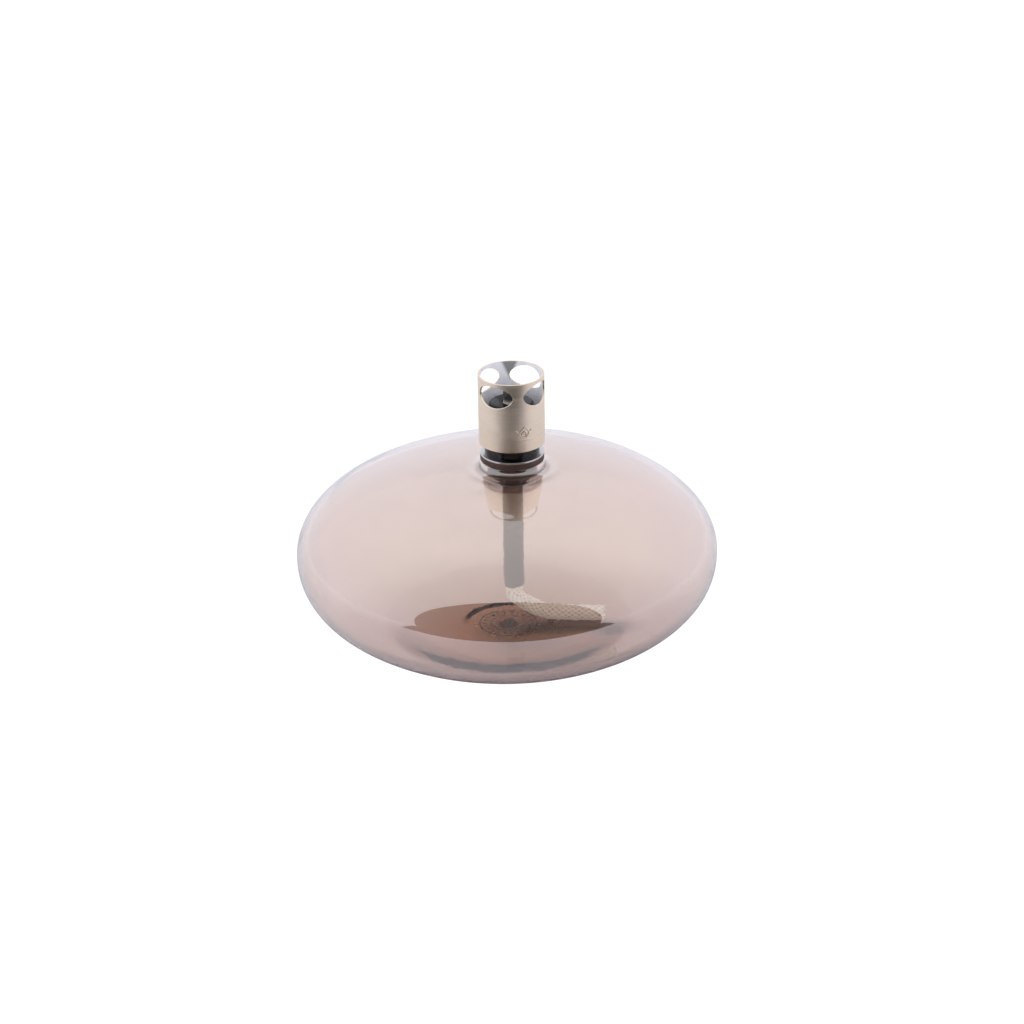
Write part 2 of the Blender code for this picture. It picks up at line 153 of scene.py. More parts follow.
# The free wick: (x, y, share of the drop to the glass floor still left)
TAIL_ROUTE = [
    (0.0000, 0.0000, 1.000),
    (0.0000, 0.0000, 0.860),
    (0.0000, 0.0000, 0.715),
    (0.0020, 0.0000, 0.520),
    (0.0060, -0.0002, 0.324),
    (0.0115, -0.0006, 0.127),
    (0.0190, -0.0011, 0.028),
    (0.0290, -0.0017, 0.000),
    (0.0395, -0.0023, 0.000),
]
TAIL_TOP = 22.2 * MM
TAIL_LIE_HEIGHT = 8.0 * MM

# Blown glass is never quite true: the body sits this far to one side of its own neck
BODY_OFFSET = -2.95 * MM
# Radius and width of the painted dark band round the collar: a painted reflection of the dark burner
DARK_BAND_RADIUS = 21.4 * MM
DARK_BAND_WIDTH = 1.9 * MM
OFFSET_FROM = 62.0 * MM
OFFSET_TO = 77.0 * MM

SHARP_ANGLE = math.radians(38)
FINE_STEPS = 144
GLASS_STEPS = 224


# --- Settings ---------------------------------------------------------------


def colour_setting(name, description, default):
    return FloatVectorProperty(
        name=name, description=description, default=default, size=3, min=0.0, max=1.0, subtype="COLOR"
    )


def number_setting(name, description, default, low, high, **more):
    return FloatProperty(name=name, description=description, default=default, min=low, max=high, **more)


def share_setting(name, description, default):
    return number_setting(name, description, default, 0.0, 1.0, subtype="FACTOR")


class LampGlassSettings(bpy.types.PropertyGroup):
    tint: colour_setting("Tint", "Colour that light takes on in one wall", (0.835, 0.735, 0.69))
    lustre: share_setting("Lustre", "Strength of the mirror film on the outside", 1.0)
    film_index: number_setting("Film index", "A higher refractive index mirrors more", 2.7, 1.3, 4.0)
    waviness: number_setting(
        "Waviness", "How far the wall strays from a true curve", 0.10 * MM, 0.0, 1.0 * MM, unit="LENGTH"
    )
    print_colour: colour_setting("Print", "Ink of the label under the base", (0.012, 0.014, 0.02))


class LampSteelSettings(bpy.types.PropertyGroup):
    cap: colour_setting("Cap", "Warm brushed steel of the cap", (0.92, 0.78, 0.63))
    flange: colour_setting("Flange", "Turned steel of the flange", (0.60, 0.59, 0.60))
    clamp: colour_setting("Clamp", "Bronzed steel of the plug, washer and nut", (0.075, 0.055, 0.045))
    tube: colour_setting("Tube", "Drawn steel of the wick tube", (0.15, 0.10, 0.075))
    black: colour_setting("Black", "Blackened steel of the seat and the nozzle", (0.012, 0.012, 0.015))
    spring: colour_setting("Spring", "Bright wire of the grip spring", (0.58, 0.58, 0.6))
    silicone: colour_setting("Silicone", "Gasket and neck seal", (0.045, 0.022, 0.016))


class LampWickSettings(bpy.types.PropertyGroup):
    cotton: colour_setting("Cotton", "Clean yarn of the braid", (0.93, 0.87, 0.79))
    # painted glow of the yarn: the share of its colour that it gives out as light
    painted_glow: share_setting("Painted_glow", "Light that the yarn passes on from behind", 0.30)
    strands: number_setting("Strands", "Strands that wind each way", 10, 4, 16, precision=0, step=100)
    pitch: number_setting(
        "Pitch", "Length of one full turn of a strand", 30.0 * MM, 10.0 * MM, 80.0 * MM, unit="LENGTH"
    )


class LampStageSettings(bpy.types.PropertyGroup):
    floor: colour_setting("Floor", "Pale floor of the studio", (0.10, 0.10, 0.10))
    # painted copper-brown pool of light on the floor under the lamp, seen through the glass
    painted_under_lamp: colour_setting("Under the lamp", "Light that comes through the glass", (0.17, 0.085, 0.05))
    glow: number_setting("Floor glow", "Light that the floor gives out itself", 1.0, 0.0, 2.0)
    room: colour_setting("Room", "Pale walls of the room", (0.90, 0.91, 1.0))
    sky: number_setting("Room light", "Strength of the white room", 1.0, 0.0, 5.0)


# --- Mesh tools -------------------------------------------------------------


def arc_points(centre, radii, start, end, count):
    """Points on an elliptical arc between two angles, both ends included."""
    points = []
    for step in range(count + 1):
        angle = start + (end - start) * step / count
        points.append((centre[0] + radii[0] * math.cos(angle), centre[1] + radii[1] * math.sin(angle)))
    return points


def superellipse(radius, rise, power, low, high, count):
    """Points (r, z) on a quarter of a flattened ball, from height low to height high above its middle."""
    points = []
    for step in range(count + 1):
        height = low + (high - low) * math.sin(QUARTER * step / count)
        share = max(0.0, 1.0 - (height / rise) ** power)
        points.append((radius * share ** (1.0 / power), height))
    return points


def crown_height_at(radius, ball_radius, rise):
    """Height above the middle at which the crown has this radius."""
    return rise * (1.0 - (radius / ball_radius) ** CROWN_POWER) ** (1.0 / CROWN_POWER)


def rounded(corners, steps=4):
    """A closed outline from (radius, height, fillet) corners, each fillet turned into an arc."""
    outline = []
    count = len(corners)
    for index, (radius, height, fillet) in enumerate(corners):
        here = Vector((radius, height))
        if fillet <= 0.0:
            outline.append((radius, height))
            continue
        to_last = (Vector(corners[index - 1][:2]) - here).normalized()
        to_next = (Vector(corners[(index + 1) % count][:2]) - here).normalized()
        half = 0.5 * to_last.angle(to_next)
        middle = here + (to_last + to_next).normalized() * (fillet / math.sin(half))
        first = here + to_last * (fillet / math.tan(half)) - middle
        last = here + to_next * (fillet / math.tan(half)) - middle
        sweep = first.angle_signed(last)
        for step in range(steps + 1):
            turned = first.copy()
            turned.rotate(Matrix.Rotation(-sweep * step / steps, 2))
            outline.append(tuple(middle + turned))
    return outline


def walled(inner, outer, low, high, inner_edge, outer_edge):
    """Outline of a flat ring or a tube, with its fillets."""
    top = [(inner, high, inner_edge), (outer, high, outer_edge)]
    return rounded(top + [(outer, low, outer_edge), (inner, low, inner_edge)])


def finish_mesh(shape, name, sharp=SHARP_ANGLE):
    """Closes a bmesh into a mesh with its faces out, smooth but for its real edges."""
    bmesh.ops.remove_doubles(shape, verts=shape.verts, dist=0.0005 * MM)
    bmesh.ops.recalc_face_normals(shape, faces=shape.faces)
    mesh = bpy.data.meshes.new(name)
    shape.to_mesh(mesh)
    shape.free()
    mesh.shade_smooth()
    mesh.set_sharp_from_angle(angle=sharp)
    return mesh


def turned_mesh(name, outline, steps=FINE_STEPS, on_axis=False, sharp=SHARP_ANGLE):
    """Spins an outline of (radius, height) points round Z. An outline on the axis stays open there."""
    shape = bmesh.new()
    corners = [shape.verts.new((radius, 0.0, height)) for radius, height in outline]
    sides = [shape.edges.new(pair) for pair in zip(corners, corners[1:])]
    if not on_axis:
        sides.append(shape.edges.new((corners[-1], corners[0])))
    bmesh.ops.spin(
        shape,
        geom=corners + sides,
        cent=(0.0, 0.0, 0.0),
        axis=(0.0, 0.0, 1.0),
        angle=TURN,
        steps=steps,
        use_merge=True,
    )
    return finish_mesh(shape, name, sharp)


def bridge(shape, row, following, closed=True):
    """Adds the faces between two rows of points of the same length."""
    count = len(row)
    for index in range(count if closed else count - 1):
        after = (index + 1) % count
        shape.faces.new((row[index], row[after], following[after], following[index]))


def level_ring(shape, radius, height, steps):
    """A ring of points round the Z axis at one height."""
    turns = [TURN * step / steps for step in range(steps)]
    return [shape.verts.new((radius * math.cos(turn), radius * math.sin(turn), height)) for turn in turns]


def store_values(mesh, name, values):
    mesh.attributes.new(name, "FLOAT", "POINT").data.foreach_set("value", values)


def mark_edges(mesh, reach=0.35):
    """Stores an edge_wear value at each point: 1 on a sharp outer edge, falling to 0 on flat faces."""
    shape = bmesh.new()
    shape.from_mesh(mesh)
    values = [0.0] * len(shape.verts)
    for edge in shape.edges:
        if len(edge.link_faces) != 2:
            continue
        bend = edge.calc_face_angle_signed(0.0)
        for vert in edge.verts:
            values[vert.index] = max(values[vert.index], min(1.0, bend / reach))
    shape.free()
    store_values(mesh, "edge_wear", values)


def add_piece(name, mesh, material, body, replaces=()):
    """Links a finished mesh to the scene and lets it ride on its CAD body."""
    mesh.materials.append(material)
    piece = bpy.data.objects.new(name, mesh)
    bpy.context.scene.collection.objects.link(piece)
    if body:
        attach(piece, body)
    if replaces:
        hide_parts(*replaces)
    return piece


def smooth_route(points, steps_per_span):
    """Points on a smooth curve through the route's own points (a Catmull-Rom spline)."""
    before = points[0] + (points[0] - points[1])
    beyond = points[-1] + (points[-1] - points[-2])
    padded = [before] + points + [beyond]
    smooth = []
    for span in range(len(points) - 1):
        a, b, c, d = padded[span : span + 4]
        for step in range(steps_per_span):
            t = step / steps_per_span
            bends = (2 * a - 5 * b + 4 * c - d) * t**2 + (3 * b - a - 3 * c + d) * t**3
            smooth.append(0.5 * (2 * b + (c - a) * t + bends))
    smooth.append(points[-1].copy())
    return smooth


# --- Material tools ---------------------------------------------------------


class Nodes:
    """Adds and links the nodes of one material or group."""

    def __init__(self, tree):
        self.tree = tree

    def add(self, kind, **settings):
        node = self.tree.nodes.new(kind)
        for key, value in settings.items():
            setattr(node, key, value)
        return node

    def link(self, output, socket):
        self.tree.links.new(output, socket)

    def put(self, socket, value):
        """Links a socket's source, or sets its plain value."""
        if isinstance(value, bpy.types.NodeSocket):
            self.link(value, socket)
        else:
            socket.default_value = value

    def maths(self, operation, first, second=0.0, clamp=False):
        node = self.add("ShaderNodeMath", operation=operation, use_clamp=clamp)
        self.put(node.inputs[0], first)
        self.put(node.inputs[1], second)
        return node.outputs[0]

    def place(self):
        """Coordinates in the object's own space."""
        return self.add("ShaderNodeTexCoord").outputs["Object"]

    def axes(self, vector):
        node = self.add("ShaderNodeSeparateXYZ")
        self.link(vector, node.inputs[0])
        return node.outputs

    def joined(self, x, y, z=0.0):
        node = self.add("ShaderNodeCombineXYZ")
        for socket, value in zip(node.inputs, (x, y, z)):
            self.put(socket, value)
        return node.outputs[0]

    def vector(self, operation, first, second=(0.0, 0.0, 0.0)):
        node = self.add("ShaderNodeVectorMath", operation=operation)
        self.put(node.inputs[0], first)
        self.put(node.inputs[1], second)
        return node.outputs["Value" if operation in ("LENGTH", "DISTANCE") else "Vector"]

    def noise(self, vector, scale, detail=3.0, roughness=0.5):
        node = self.add("ShaderNodeTexNoise")
        self.put(node.inputs["Vector"], vector)
        self.put(node.inputs["Scale"], scale)
        node.inputs["Detail"].default_value = detail
        node.inputs["Roughness"].default_value = roughness
        return node.outputs["Fac"]

    def span(self, value, low, high, to_low=0.0, to_high=1.0, smooth=False):
        node = self.add("ShaderNodeMapRange")
        if smooth:
            node.interpolation_type = "SMOOTHSTEP"
        names = ("Value", "From Min", "From Max", "To Min", "To Max")
        for socket, given in zip(names, (value, low, high, to_low, to_high)):
            self.put(node.inputs[socket], given)
        return node.outputs["Result"]

    def mix(self, factor, first, second, blend="MIX"):
        node = self.add("ShaderNodeMix", data_type="RGBA", blend_type=blend)
        self.put(node.inputs["Factor"], factor)
        for socket, value in (("A", first), ("B", second)):
            linked = isinstance(value, bpy.types.NodeSocket)
            self.put(node.inputs[socket], value if linked else (*value, 1.0))
        return node.outputs["Result"]

    def attribute(self, name):
        return self.add("ShaderNodeAttribute", attribute_name=name).outputs["Fac"]

    def bump(self, height, strength, distance):
        node = self.add("ShaderNodeBump")
        node.inputs["Strength"].default_value = strength
        node.inputs["Distance"].default_value = distance
        self.link(height, node.inputs["Height"])
        return node.outputs["Normal"]

    def group(self, tree, **values):
        node = self.add("ShaderNodeGroup", node_tree=tree)
        for key, value in values.items():
            self.put(node.inputs[key.replace("_", " ")], value)
        return node

    def smudged(self, shader, size, clean, marked, roughness):
        """Smudges that change a shader's colour and its roughness (low, high). Gives the colour."""
        mask = self.group(smudge_group(), Size=size, Amount=1.0).outputs["Mask"]
        colour = self.mix(mask, clean, marked)
        self.put(shader.inputs["Base Color"], colour)
        self.put(shader.inputs["Roughness"], self.span(mask, 0.0, 1.0, *roughness))
        return colour


def new_group(name, inputs, outputs):
    """An empty shader node group with float inputs (name, default) and float outputs."""
    tree = bpy.data.node_groups.new(name, "ShaderNodeTree")
    for label, default in inputs:
        socket = tree.interface.new_socket(name=label, in_out="INPUT", socket_type="NodeSocketFloat")
        socket.default_value = default
    for label in outputs:
        tree.interface.new_socket(name=label, in_out="OUTPUT", socket_type="NodeSocketFloat")
    nodes = Nodes(tree)
    return tree, nodes, nodes.add("NodeGroupInput"), nodes.add("NodeGroupOutput")


def turned_grain_group():
    """Fine tool lines that run round the Z axis, on walls and on flat faces alike."""
    found = bpy.data.node_groups.get("Turned Grain")
    if found:
        return found
    tree, nodes, given, result = new_group(
        "Turned Grain", [("Lines per mm", 8.0), ("Break up", 40.0)], ["Height", "Streaks"]
    )
    x, y, z = nodes.axes(nodes.place())
    across = nodes.maths("ADD", z, nodes.vector("LENGTH", nodes.joined(x, y)))
    lines = nodes.maths("MULTIPLY", across, nodes.maths("MULTIPLY", given.outputs["Lines per mm"], 1000.0))
    strung = nodes.joined(
        nodes.maths("MULTIPLY", x, given.outputs["Break up"]),
        nodes.maths("MULTIPLY", y, given.outputs["Break up"]),
        lines,
    )
    wide = nodes.vector("MULTIPLY", strung, (0.6, 0.6, 0.12))
    nodes.link(nodes.noise(strung, 1.0, 3.0, 0.6), result.inputs["Height"])
    nodes.link(nodes.noise(wide, 1.0, 2.0, 0.5), result.inputs["Streaks"])
    return tree


def smudge_group():
    """Soft, uneven patches such as finger marks and handling leave."""
    found = bpy.data.node_groups.get("Smudges")
    if found:
        return found
    tree, nodes, given, result = new_group("Smudges", [("Size", 90.0), ("Amount", 1.0)], ["Mask"])
    large = nodes.noise(nodes.place(), given.outputs["Size"], 4.0, 0.6)
    mask = nodes.span(large, 0.38, 0.68, smooth=True)
    nodes.link(nodes.maths("MULTIPLY", mask, given.outputs["Amount"], clamp=True), result.inputs["Mask"])
    return tree


def fine_grain_group():
    """Small, even unevenness in all directions, as on moulded or blasted surfaces."""
    found = bpy.data.node_groups.get("Fine Grain")
    if found:
        return found
    tree, nodes, given, result = new_group("Fine Grain", [("Grains per mm", 6.0)], ["Height"])
    scale = nodes.maths("MULTIPLY", given.outputs["Grains per mm"], 1000.0)
    nodes.link(nodes.noise(nodes.place(), scale, 4.0, 0.65), result.inputs["Height"])
    return tree


def new_material(name):
    """(material, its nodes, its Principled shader)"""
    material = bpy.data.materials.new(name)
    material.use_nodes = True
    return material, Nodes(material.node_tree), material.node_tree.nodes["Principled BSDF"]


def turned_metal(name, colour, roughness, lines=8.0, bump=0.12, anisotropy=0.5, wear=0.35):
    """Metal with lines round the Z axis, bright where its edges are rubbed and dull where it is handled."""
    found = bpy.data.materials.get(name)
    if found:
        return found
    material, nodes, shader = new_material(name)
    grain = nodes.group(turned_grain_group(), Lines_per_mm=lines)
    smudges = nodes.group(smudge_group(), Size=140.0, Amount=0.8)
    worn = nodes.maths("MULTIPLY", nodes.attribute("edge_wear"), wear, clamp=True)
    dark = [0.86 * value for value in colour]
    bright = [min(1.0, 1.06 * value) for value in colour]
    pale = [value + (1.0 - value) * 0.45 for value in colour]
    base = nodes.mix(grain.outputs["Streaks"], dark, bright)
    nodes.put(shader.inputs["Base Color"], nodes.mix(worn, base, pale))
    rough = nodes.span(grain.outputs["Streaks"], 0.3, 0.7, roughness * 0.85, roughness * 1.15)
    handled = nodes.maths("MULTIPLY", smudges.outputs["Mask"], 0.06)
    rubbed = nodes.maths("MULTIPLY", worn, 0.10)
    rough = nodes.maths("SUBTRACT", nodes.maths("ADD", rough, handled), rubbed, clamp=True)
    nodes.put(shader.inputs["Roughness"], rough)
    shader.inputs["Metallic"].default_value = 1.0
    shader.inputs["Anisotropic"].default_value = anisotropy
    tangent = nodes.add("ShaderNodeTangent", direction_type="RADIAL", axis="Z")
    nodes.link(tangent.outputs[0], shader.inputs["Tangent"])
    nodes.put(shader.inputs["Normal"], nodes.bump(grain.outputs["Height"], bump, 0.02 * MM))
    return material


# Foot of the painted dark reflection, a V up the cap's inner wall (x, z), and its half width for each unit
# of height
DARK_V_PLACE = (-0.5 * MM, 114.0 * MM)
DARK_V_SPREAD = 0.42
PALE_WALL = (0.97, 0.97, 1.0)
CLOUDED_WALL = (0.86, 0.86, 0.93)


def polished_inner_wall():
    """The cap's smooth, pale inside, clouded a little by heat, with a painted dark reflection in a V up its
    back.
    """
    material, nodes, shader = new_material("pale inner wall")
    x, y, z = nodes.axes(nodes.place())
    # painted dark reflection: a V that widens upwards, only on the back of the wall
    aside = nodes.maths("ABSOLUTE", nodes.maths("SUBTRACT", x, DARK_V_PLACE[0]))
    widening = nodes.maths("MULTIPLY", nodes.maths("SUBTRACT", z, DARK_V_PLACE[1]), DARK_V_SPREAD)
    within = nodes.span(nodes.maths("SUBTRACT", widening, aside), -0.5 * MM, 1.5 * MM, smooth=True)
    painted_dark_v = nodes.maths("MULTIPLY", within, nodes.span(y, 0.0, 2.0 * MM, 0.0, 0.75))
    grain = nodes.group(turned_grain_group(), Lines_per_mm=3.0)
    clean = nodes.smudged(shader, 160.0, PALE_WALL, CLOUDED_WALL, (0.16, 0.28))
    nodes.put(shader.inputs["Base Color"], nodes.mix(painted_dark_v, clean, (0.06, 0.06, 0.06)))
    nodes.put(shader.inputs["Normal"], nodes.bump(grain.outputs["Height"], 0.05, 0.02 * MM))
    shader.inputs["Metallic"].default_value = 0.0
    return material


def lustre_glass(settings):
    """Smoky blown glass with a thin mirror film on its outside."""
    material, nodes, shader = new_material("lustre glass")
    smudges = nodes.group(smudge_group(), Size=26.0, Amount=1.0)
    ripple = nodes.group(fine_grain_group(), Grains_per_mm=0.045)
    darker = [value * 0.965 for value in settings.tint]
    base = nodes.mix(smudges.outputs["Mask"], settings.tint, darker)
    # the painted dark band round the collar darkens the glass's colour there
    nodes.put(shader.inputs["Base Color"], nodes.mix(nodes.attribute("painted_dark_band"), base, (0.03, 0.025, 0.03)))
    nodes.put(shader.inputs["Roughness"], nodes.span(smudges.outputs["Mask"], 0.0, 1.0, 0.02, 0.035))
    nodes.put(shader.inputs["Normal"], nodes.bump(ripple.outputs["Height"], 0.10, 1.2 * MM))
    film = nodes.maths("MULTIPLY", nodes.attribute("film"), settings.lustre)
    nodes.put(shader.inputs["Coat Weight"], film)
    shader.inputs["Coat IOR"].default_value = settings.film_index
    shader.inputs["Coat Roughness"].default_value = 0.03
    shader.inputs["Transmission Weight"].default_value = 1.0
    shader.inputs["IOR"].default_value = 1.46
    return material


def silicone_rubber(colour):
    found = bpy.data.materials.get("brown silicone")
    if found:
        return found
    material, nodes, shader = new_material("brown silicone")
    grain = nodes.group(fine_grain_group(), Grains_per_mm=9.0)
    dusty = [value * 1.6 + 0.01 for value in colour]
    nodes.smudged(shader, 220.0, colour, dusty, (0.42, 0.58))
    nodes.put(shader.inputs["Normal"], nodes.bump(grain.outputs["Height"], 0.25, 0.03 * MM))
    shader.inputs["Specular IOR Level"].default_value = 0.45
    return material


# Heights between which the wick's tip turns from clean to burnt black
CHAR = (0.1085, 0.1125)


def braided_cotton(settings):
    """Off-white yarn with fine fibres along each strand, painted shade between the strands, charred at its
    tip.
    """
    material, nodes, shader = new_material("braided cotton")
    across = nodes.attribute("yarn_across")
    along = nodes.attribute("yarn_along")
    depth = nodes.attribute("yarn_depth")
    strung = nodes.joined(nodes.maths("MULTIPLY", across, 14.0), nodes.maths("MULTIPLY", along, 2.0))
    fibres = nodes.noise(strung, 1.0, 4.0, 0.7)
    groove_shade_and_fibre_tone = [value * factor for value, factor in zip(settings.cotton, (0.36, 0.32, 0.26))]
    # painted shade: darker where the yarn sinks between the strands
    base = nodes.mix(nodes.span(depth, 0.15, 0.95, smooth=True), groove_shade_and_fibre_tone, settings.cotton)
    mottled = nodes.mix(nodes.span(fibres, 0.3, 0.7, 0.0, 0.35), base, groove_shade_and_fibre_tone)
    char = nodes.span(nodes.maths("ADD", nodes.attribute("char"), fibres), 0.6, 1.4, smooth=True)
    coloured = nodes.mix(char, mottled, (0.012, 0.011, 0.010))
    nodes.put(shader.inputs["Base Color"], coloured)
    # painted glow: the yarn gives out light in its own colour, standing in for light that doesn't reach it
    nodes.put(shader.inputs["Emission Color"], coloured)
    shader.inputs["Emission Strength"].default_value = settings.painted_glow
    nodes.put(shader.inputs["Roughness"], nodes.span(fibres, 0.2, 0.8, 0.75, 0.95))
    nodes.put(shader.inputs["Normal"], nodes.bump(fibres, 0.7, 0.08 * MM))
    shader.inputs["Sheen Weight"].default_value = 0.3
    shader.inputs["Sheen Roughness"].default_value = 0.5
    return material


# --- Glass reservoir --------------------------------------------------------


def eased_above(height, level):
    """The height, held at a level from below. The two flow into each other over BASE_EASE."""
    near = max(0.0, BASE_EASE - abs(height - level))
    return max(height, level) + near * near / (4.0 * BASE_EASE)


def reservoir_outline():
    """(outside from the base's rim up to the mouth, inside from the mouth down to the floor's middle)"""
    rim_height = GLASS.top
    shoulder_height = rim_height - COLLAR_HEIGHT
    collar_top = rim_height - RIM_ROUND
    belly = superellipse(GLASS.radius, BELLY_DROP, BELLY_POWER, 0.0, EQUATOR_HEIGHT + BASE_EASE, 64)
    crown = superellipse(GLASS.radius, CROWN_RISE, CROWN_POWER, 0.0, shoulder_height - EQUATOR_HEIGHT, 64)
    collar_middle = (NECK_RADIUS + COLLAR_WIDTH, collar_top)
    collar = arc_points(
        collar_middle, (COLLAR_WIDTH, collar_top - shoulder_height), 3 * QUARTER, 2 * QUARTER, 14
    )
    edge = (RIM_ROUND, RIM_ROUND)
    lip = arc_points((NECK_RADIUS - RIM_ROUND, collar_top), edge, 0.0, QUARTER, 5)
    outside = [(radius, eased_above(EQUATOR_HEIGHT - height, 0.0)) for radius, height in reversed(belly)]
    outside += [(radius, EQUATOR_HEIGHT + height) for radius, height in crown[1:]]
    outside += collar[1:] + lip[1:]

    inner_radius = GLASS.radius - GLASS_WALL
    inner_rise = CROWN_RISE - GLASS_WALL
    throat_radius = NECK_BORE_RADIUS + COLLAR_HEIGHT
    throat_height = EQUATOR_HEIGHT + crown_height_at(throat_radius, inner_radius, inner_rise)
    mouth = arc_points((NECK_BORE_RADIUS + RIM_ROUND, collar_top), edge, QUARTER, 2 * QUARTER, 5)
    throat_middle = (throat_radius, throat_height + COLLAR_HEIGHT)
    throat = arc_points(throat_middle, (COLLAR_HEIGHT, COLLAR_HEIGHT), 2 * QUARTER, 3 * QUARTER, 8)
    throat_rise = throat_height - EQUATOR_HEIGHT
    inner_crown = superellipse(inner_radius, inner_rise, CROWN_POWER, 0.0, throat_rise, 56)
    inner_drop = EQUATOR_HEIGHT - FLOOR_THICKNESS + BASE_EASE
    inner_belly = superellipse(inner_radius, BELLY_DROP - GLASS_WALL, BELLY_POWER, 0.0, inner_drop, 60)
    inside = mouth + throat
    inside += [(radius, EQUATOR_HEIGHT + height) for radius, height in reversed(inner_crown[:-1])]
    for radius, height in inner_belly[1:]:
        inside.append((radius, eased_above(EQUATOR_HEIGHT - height, FLOOR_THICKNESS)))
    inside.append((0.0, FLOOR_THICKNESS))
    return outside, inside


def body_offset(height):
    """How far the blown body lies to one side at this height. It runs out towards the neck."""
    share = min(1.0, max(0.0, (OFFSET_TO - height) / (OFFSET_TO - OFFSET_FROM)))
    return BODY_OFFSET * share * share * (3.0 - 2.0 * share)


def reservoir_mesh(waviness):
    outside, inside = reservoir_outline()
    recess = [(0.0, LABEL_RECESS_DEPTH)]
    for step in range(13):
        share = step / 12
        drop = share * share * (3.0 - 2.0 * share)
        recess.append((LABEL_RECESS_RADIUS + LABEL_RECESS_SLOPE * share, LABEL_RECESS_DEPTH * (1.0 - drop)))
    mesh = turned_mesh("reservoir_glass", recess + outside + inside, GLASS_STEPS, on_axis=True)
    film = []
    painted_dark_band = []
    for vert in mesh.vertices:
        place = vert.co
        reach = math.hypot(place.x, place.y)
        turn = math.atan2(place.y, place.x)
        # blown glass strays in slow waves, most on its widest part and not at all at the neck or base
        free = min(1.0, max(0.0, (reach - 20.0 * MM) / (30.0 * MM)))
        free *= min(1.0, max(0.0, (place.z - 2.0 * MM) / (10.0 * MM)))
        wave = math.sin(3 * turn + 40.0 * place.z) + 0.6 * math.sin(5 * turn - 70.0 * place.z + 1.3)
        if reach > 0.0:
            place.xy = place.xy * (1.0 - waviness * free * (1.0 + 0.6 * wave) / reach)
        inner = (reach / (GLASS.radius - 0.5 * GLASS_WALL)) ** 2.1
        full_rise = CROWN_RISE if place.z > EQUATOR_HEIGHT else BELLY_DROP
        rise = (place.z - EQUATOR_HEIGHT) / (full_rise - 0.5 * GLASS_WALL)
        is_outside = inner + abs(rise) ** 2.1 > 1.0
        if place.z > GLASS.top - 1.9 * COLLAR_HEIGHT and reach < NECK_RADIUS + COLLAR_WIDTH:
            is_outside = reach > NECK_BORE_RADIUS + 1.5 * MM
        above_base = min(1.0, max(0.0, (place.z - 1.5 * MM) / (6.0 * MM)))
        film.append(above_base if is_outside else 0.0)
        # painted dark band in the glass round the collar, deepest at the front: a painted reflection of the
        # dark burner above it
        from_band = (reach - DARK_BAND_RADIUS) / DARK_BAND_WIDTH
        front = max(0.0, -math.sin(turn))
        depth = math.exp(-from_band * from_band) * front * front
        painted_dark_band.append(depth if is_outside and place.z > OFFSET_TO else 0.0)
        place.x += body_offset(place.z)
    store_values(mesh, "film", film)
    store_values(mesh, "painted_dark_band", painted_dark_band)
    return mesh


class LAMP_OT_add_reservoir(bpy.types.Operator):
    """Blown glass reservoir with a mirror film on its outside"""

    bl_idname = "lamp.add_reservoir"
    bl_label = "Add Reservoir"

    def execute(self, context):
        settings = context.scene.lamp_glass
        mesh = reservoir_mesh(settings.waviness)
        material = lustre_glass(settings)
        glass = add_piece("reservoir_glass", mesh, material, "vessel", ["glass_vessel"])
        # light reaches the wick straight through the glass
        glass.visible_shadow = False
        return {"FINISHED"}


# --- Label ------------------------------------------------------------------


def flame_points(height, count=28):
    """A flame's outline in (across, up), drawn as a drop whose tip leans over."""
    points = []
    for step in range(count):
        turn = TURN * step / count
        up = -math.cos(turn)
        width = 0.42 * math.sin(turn) * (1.0 - 0.62 * max(0.0, up)) * (1.0 - 0.18 * up)
        lean = 0.10 * (0.5 + 0.5 * up) ** 2
        points.append((height * (width + lean), height * 0.5 * up))
    return points


def flat_shape(shape, points, bottom, top, turn=0.0, centre=(0.0, 0.0)):
    """Adds a flat closed shape with these outline points to a bmesh."""
    low = []
    high = []
    for across, up in points:
        x = centre[0] + across * math.cos(turn) - up * math.sin(turn)
        y = centre[1] + across * math.sin(turn) + up * math.cos(turn)
        low.append(shape.verts.new((x, y, bottom)))
        high.append(shape.verts.new((x, y, top)))
    shape.faces.new(low)
    shape.faces.new(high)
    bridge(shape, low, high)


# Inner and outer radius of each printed ring, in mm
PRINTED_RINGS = ((12.6, 13.3), (7.6, 8.15))
DASHES = 22
DASH_CIRCLE_RADIUS = 10.6 * MM


def label_print_mesh(bottom, top):
    """Ink on the film: two rings, a row of short dashes between them and a flame in the middle."""
    shape = bmesh.new()
    for inner, outer in PRINTED_RINGS:
        section = [(inner, bottom), (inner, top), (outer, top), (outer, bottom)]
        rings = [level_ring(shape, radius * MM, height, 120) for radius, height in section]
        for ring, following in zip(rings, rings[1:] + rings[:1]):
            bridge(shape, ring, following)
    for dash in range(DASHES):
        angle = TURN * dash / DASHES
        centre = (DASH_CIRCLE_RADIUS * math.cos(angle), DASH_CIRCLE_RADIUS * math.sin(angle))
        half = (0.45 + 0.16 * (dash % 3)) * MM
        corners = [(-half, -0.8 * MM), (half, -0.8 * MM), (half, 0.8 * MM), (-half, 0.8 * MM)]
        flat_shape(shape, corners, bottom, top, angle - QUARTER, centre)
    flat_shape(shape, flame_points(10.5 * MM), bottom, top)
    return finish_mesh(shape, "label_print")


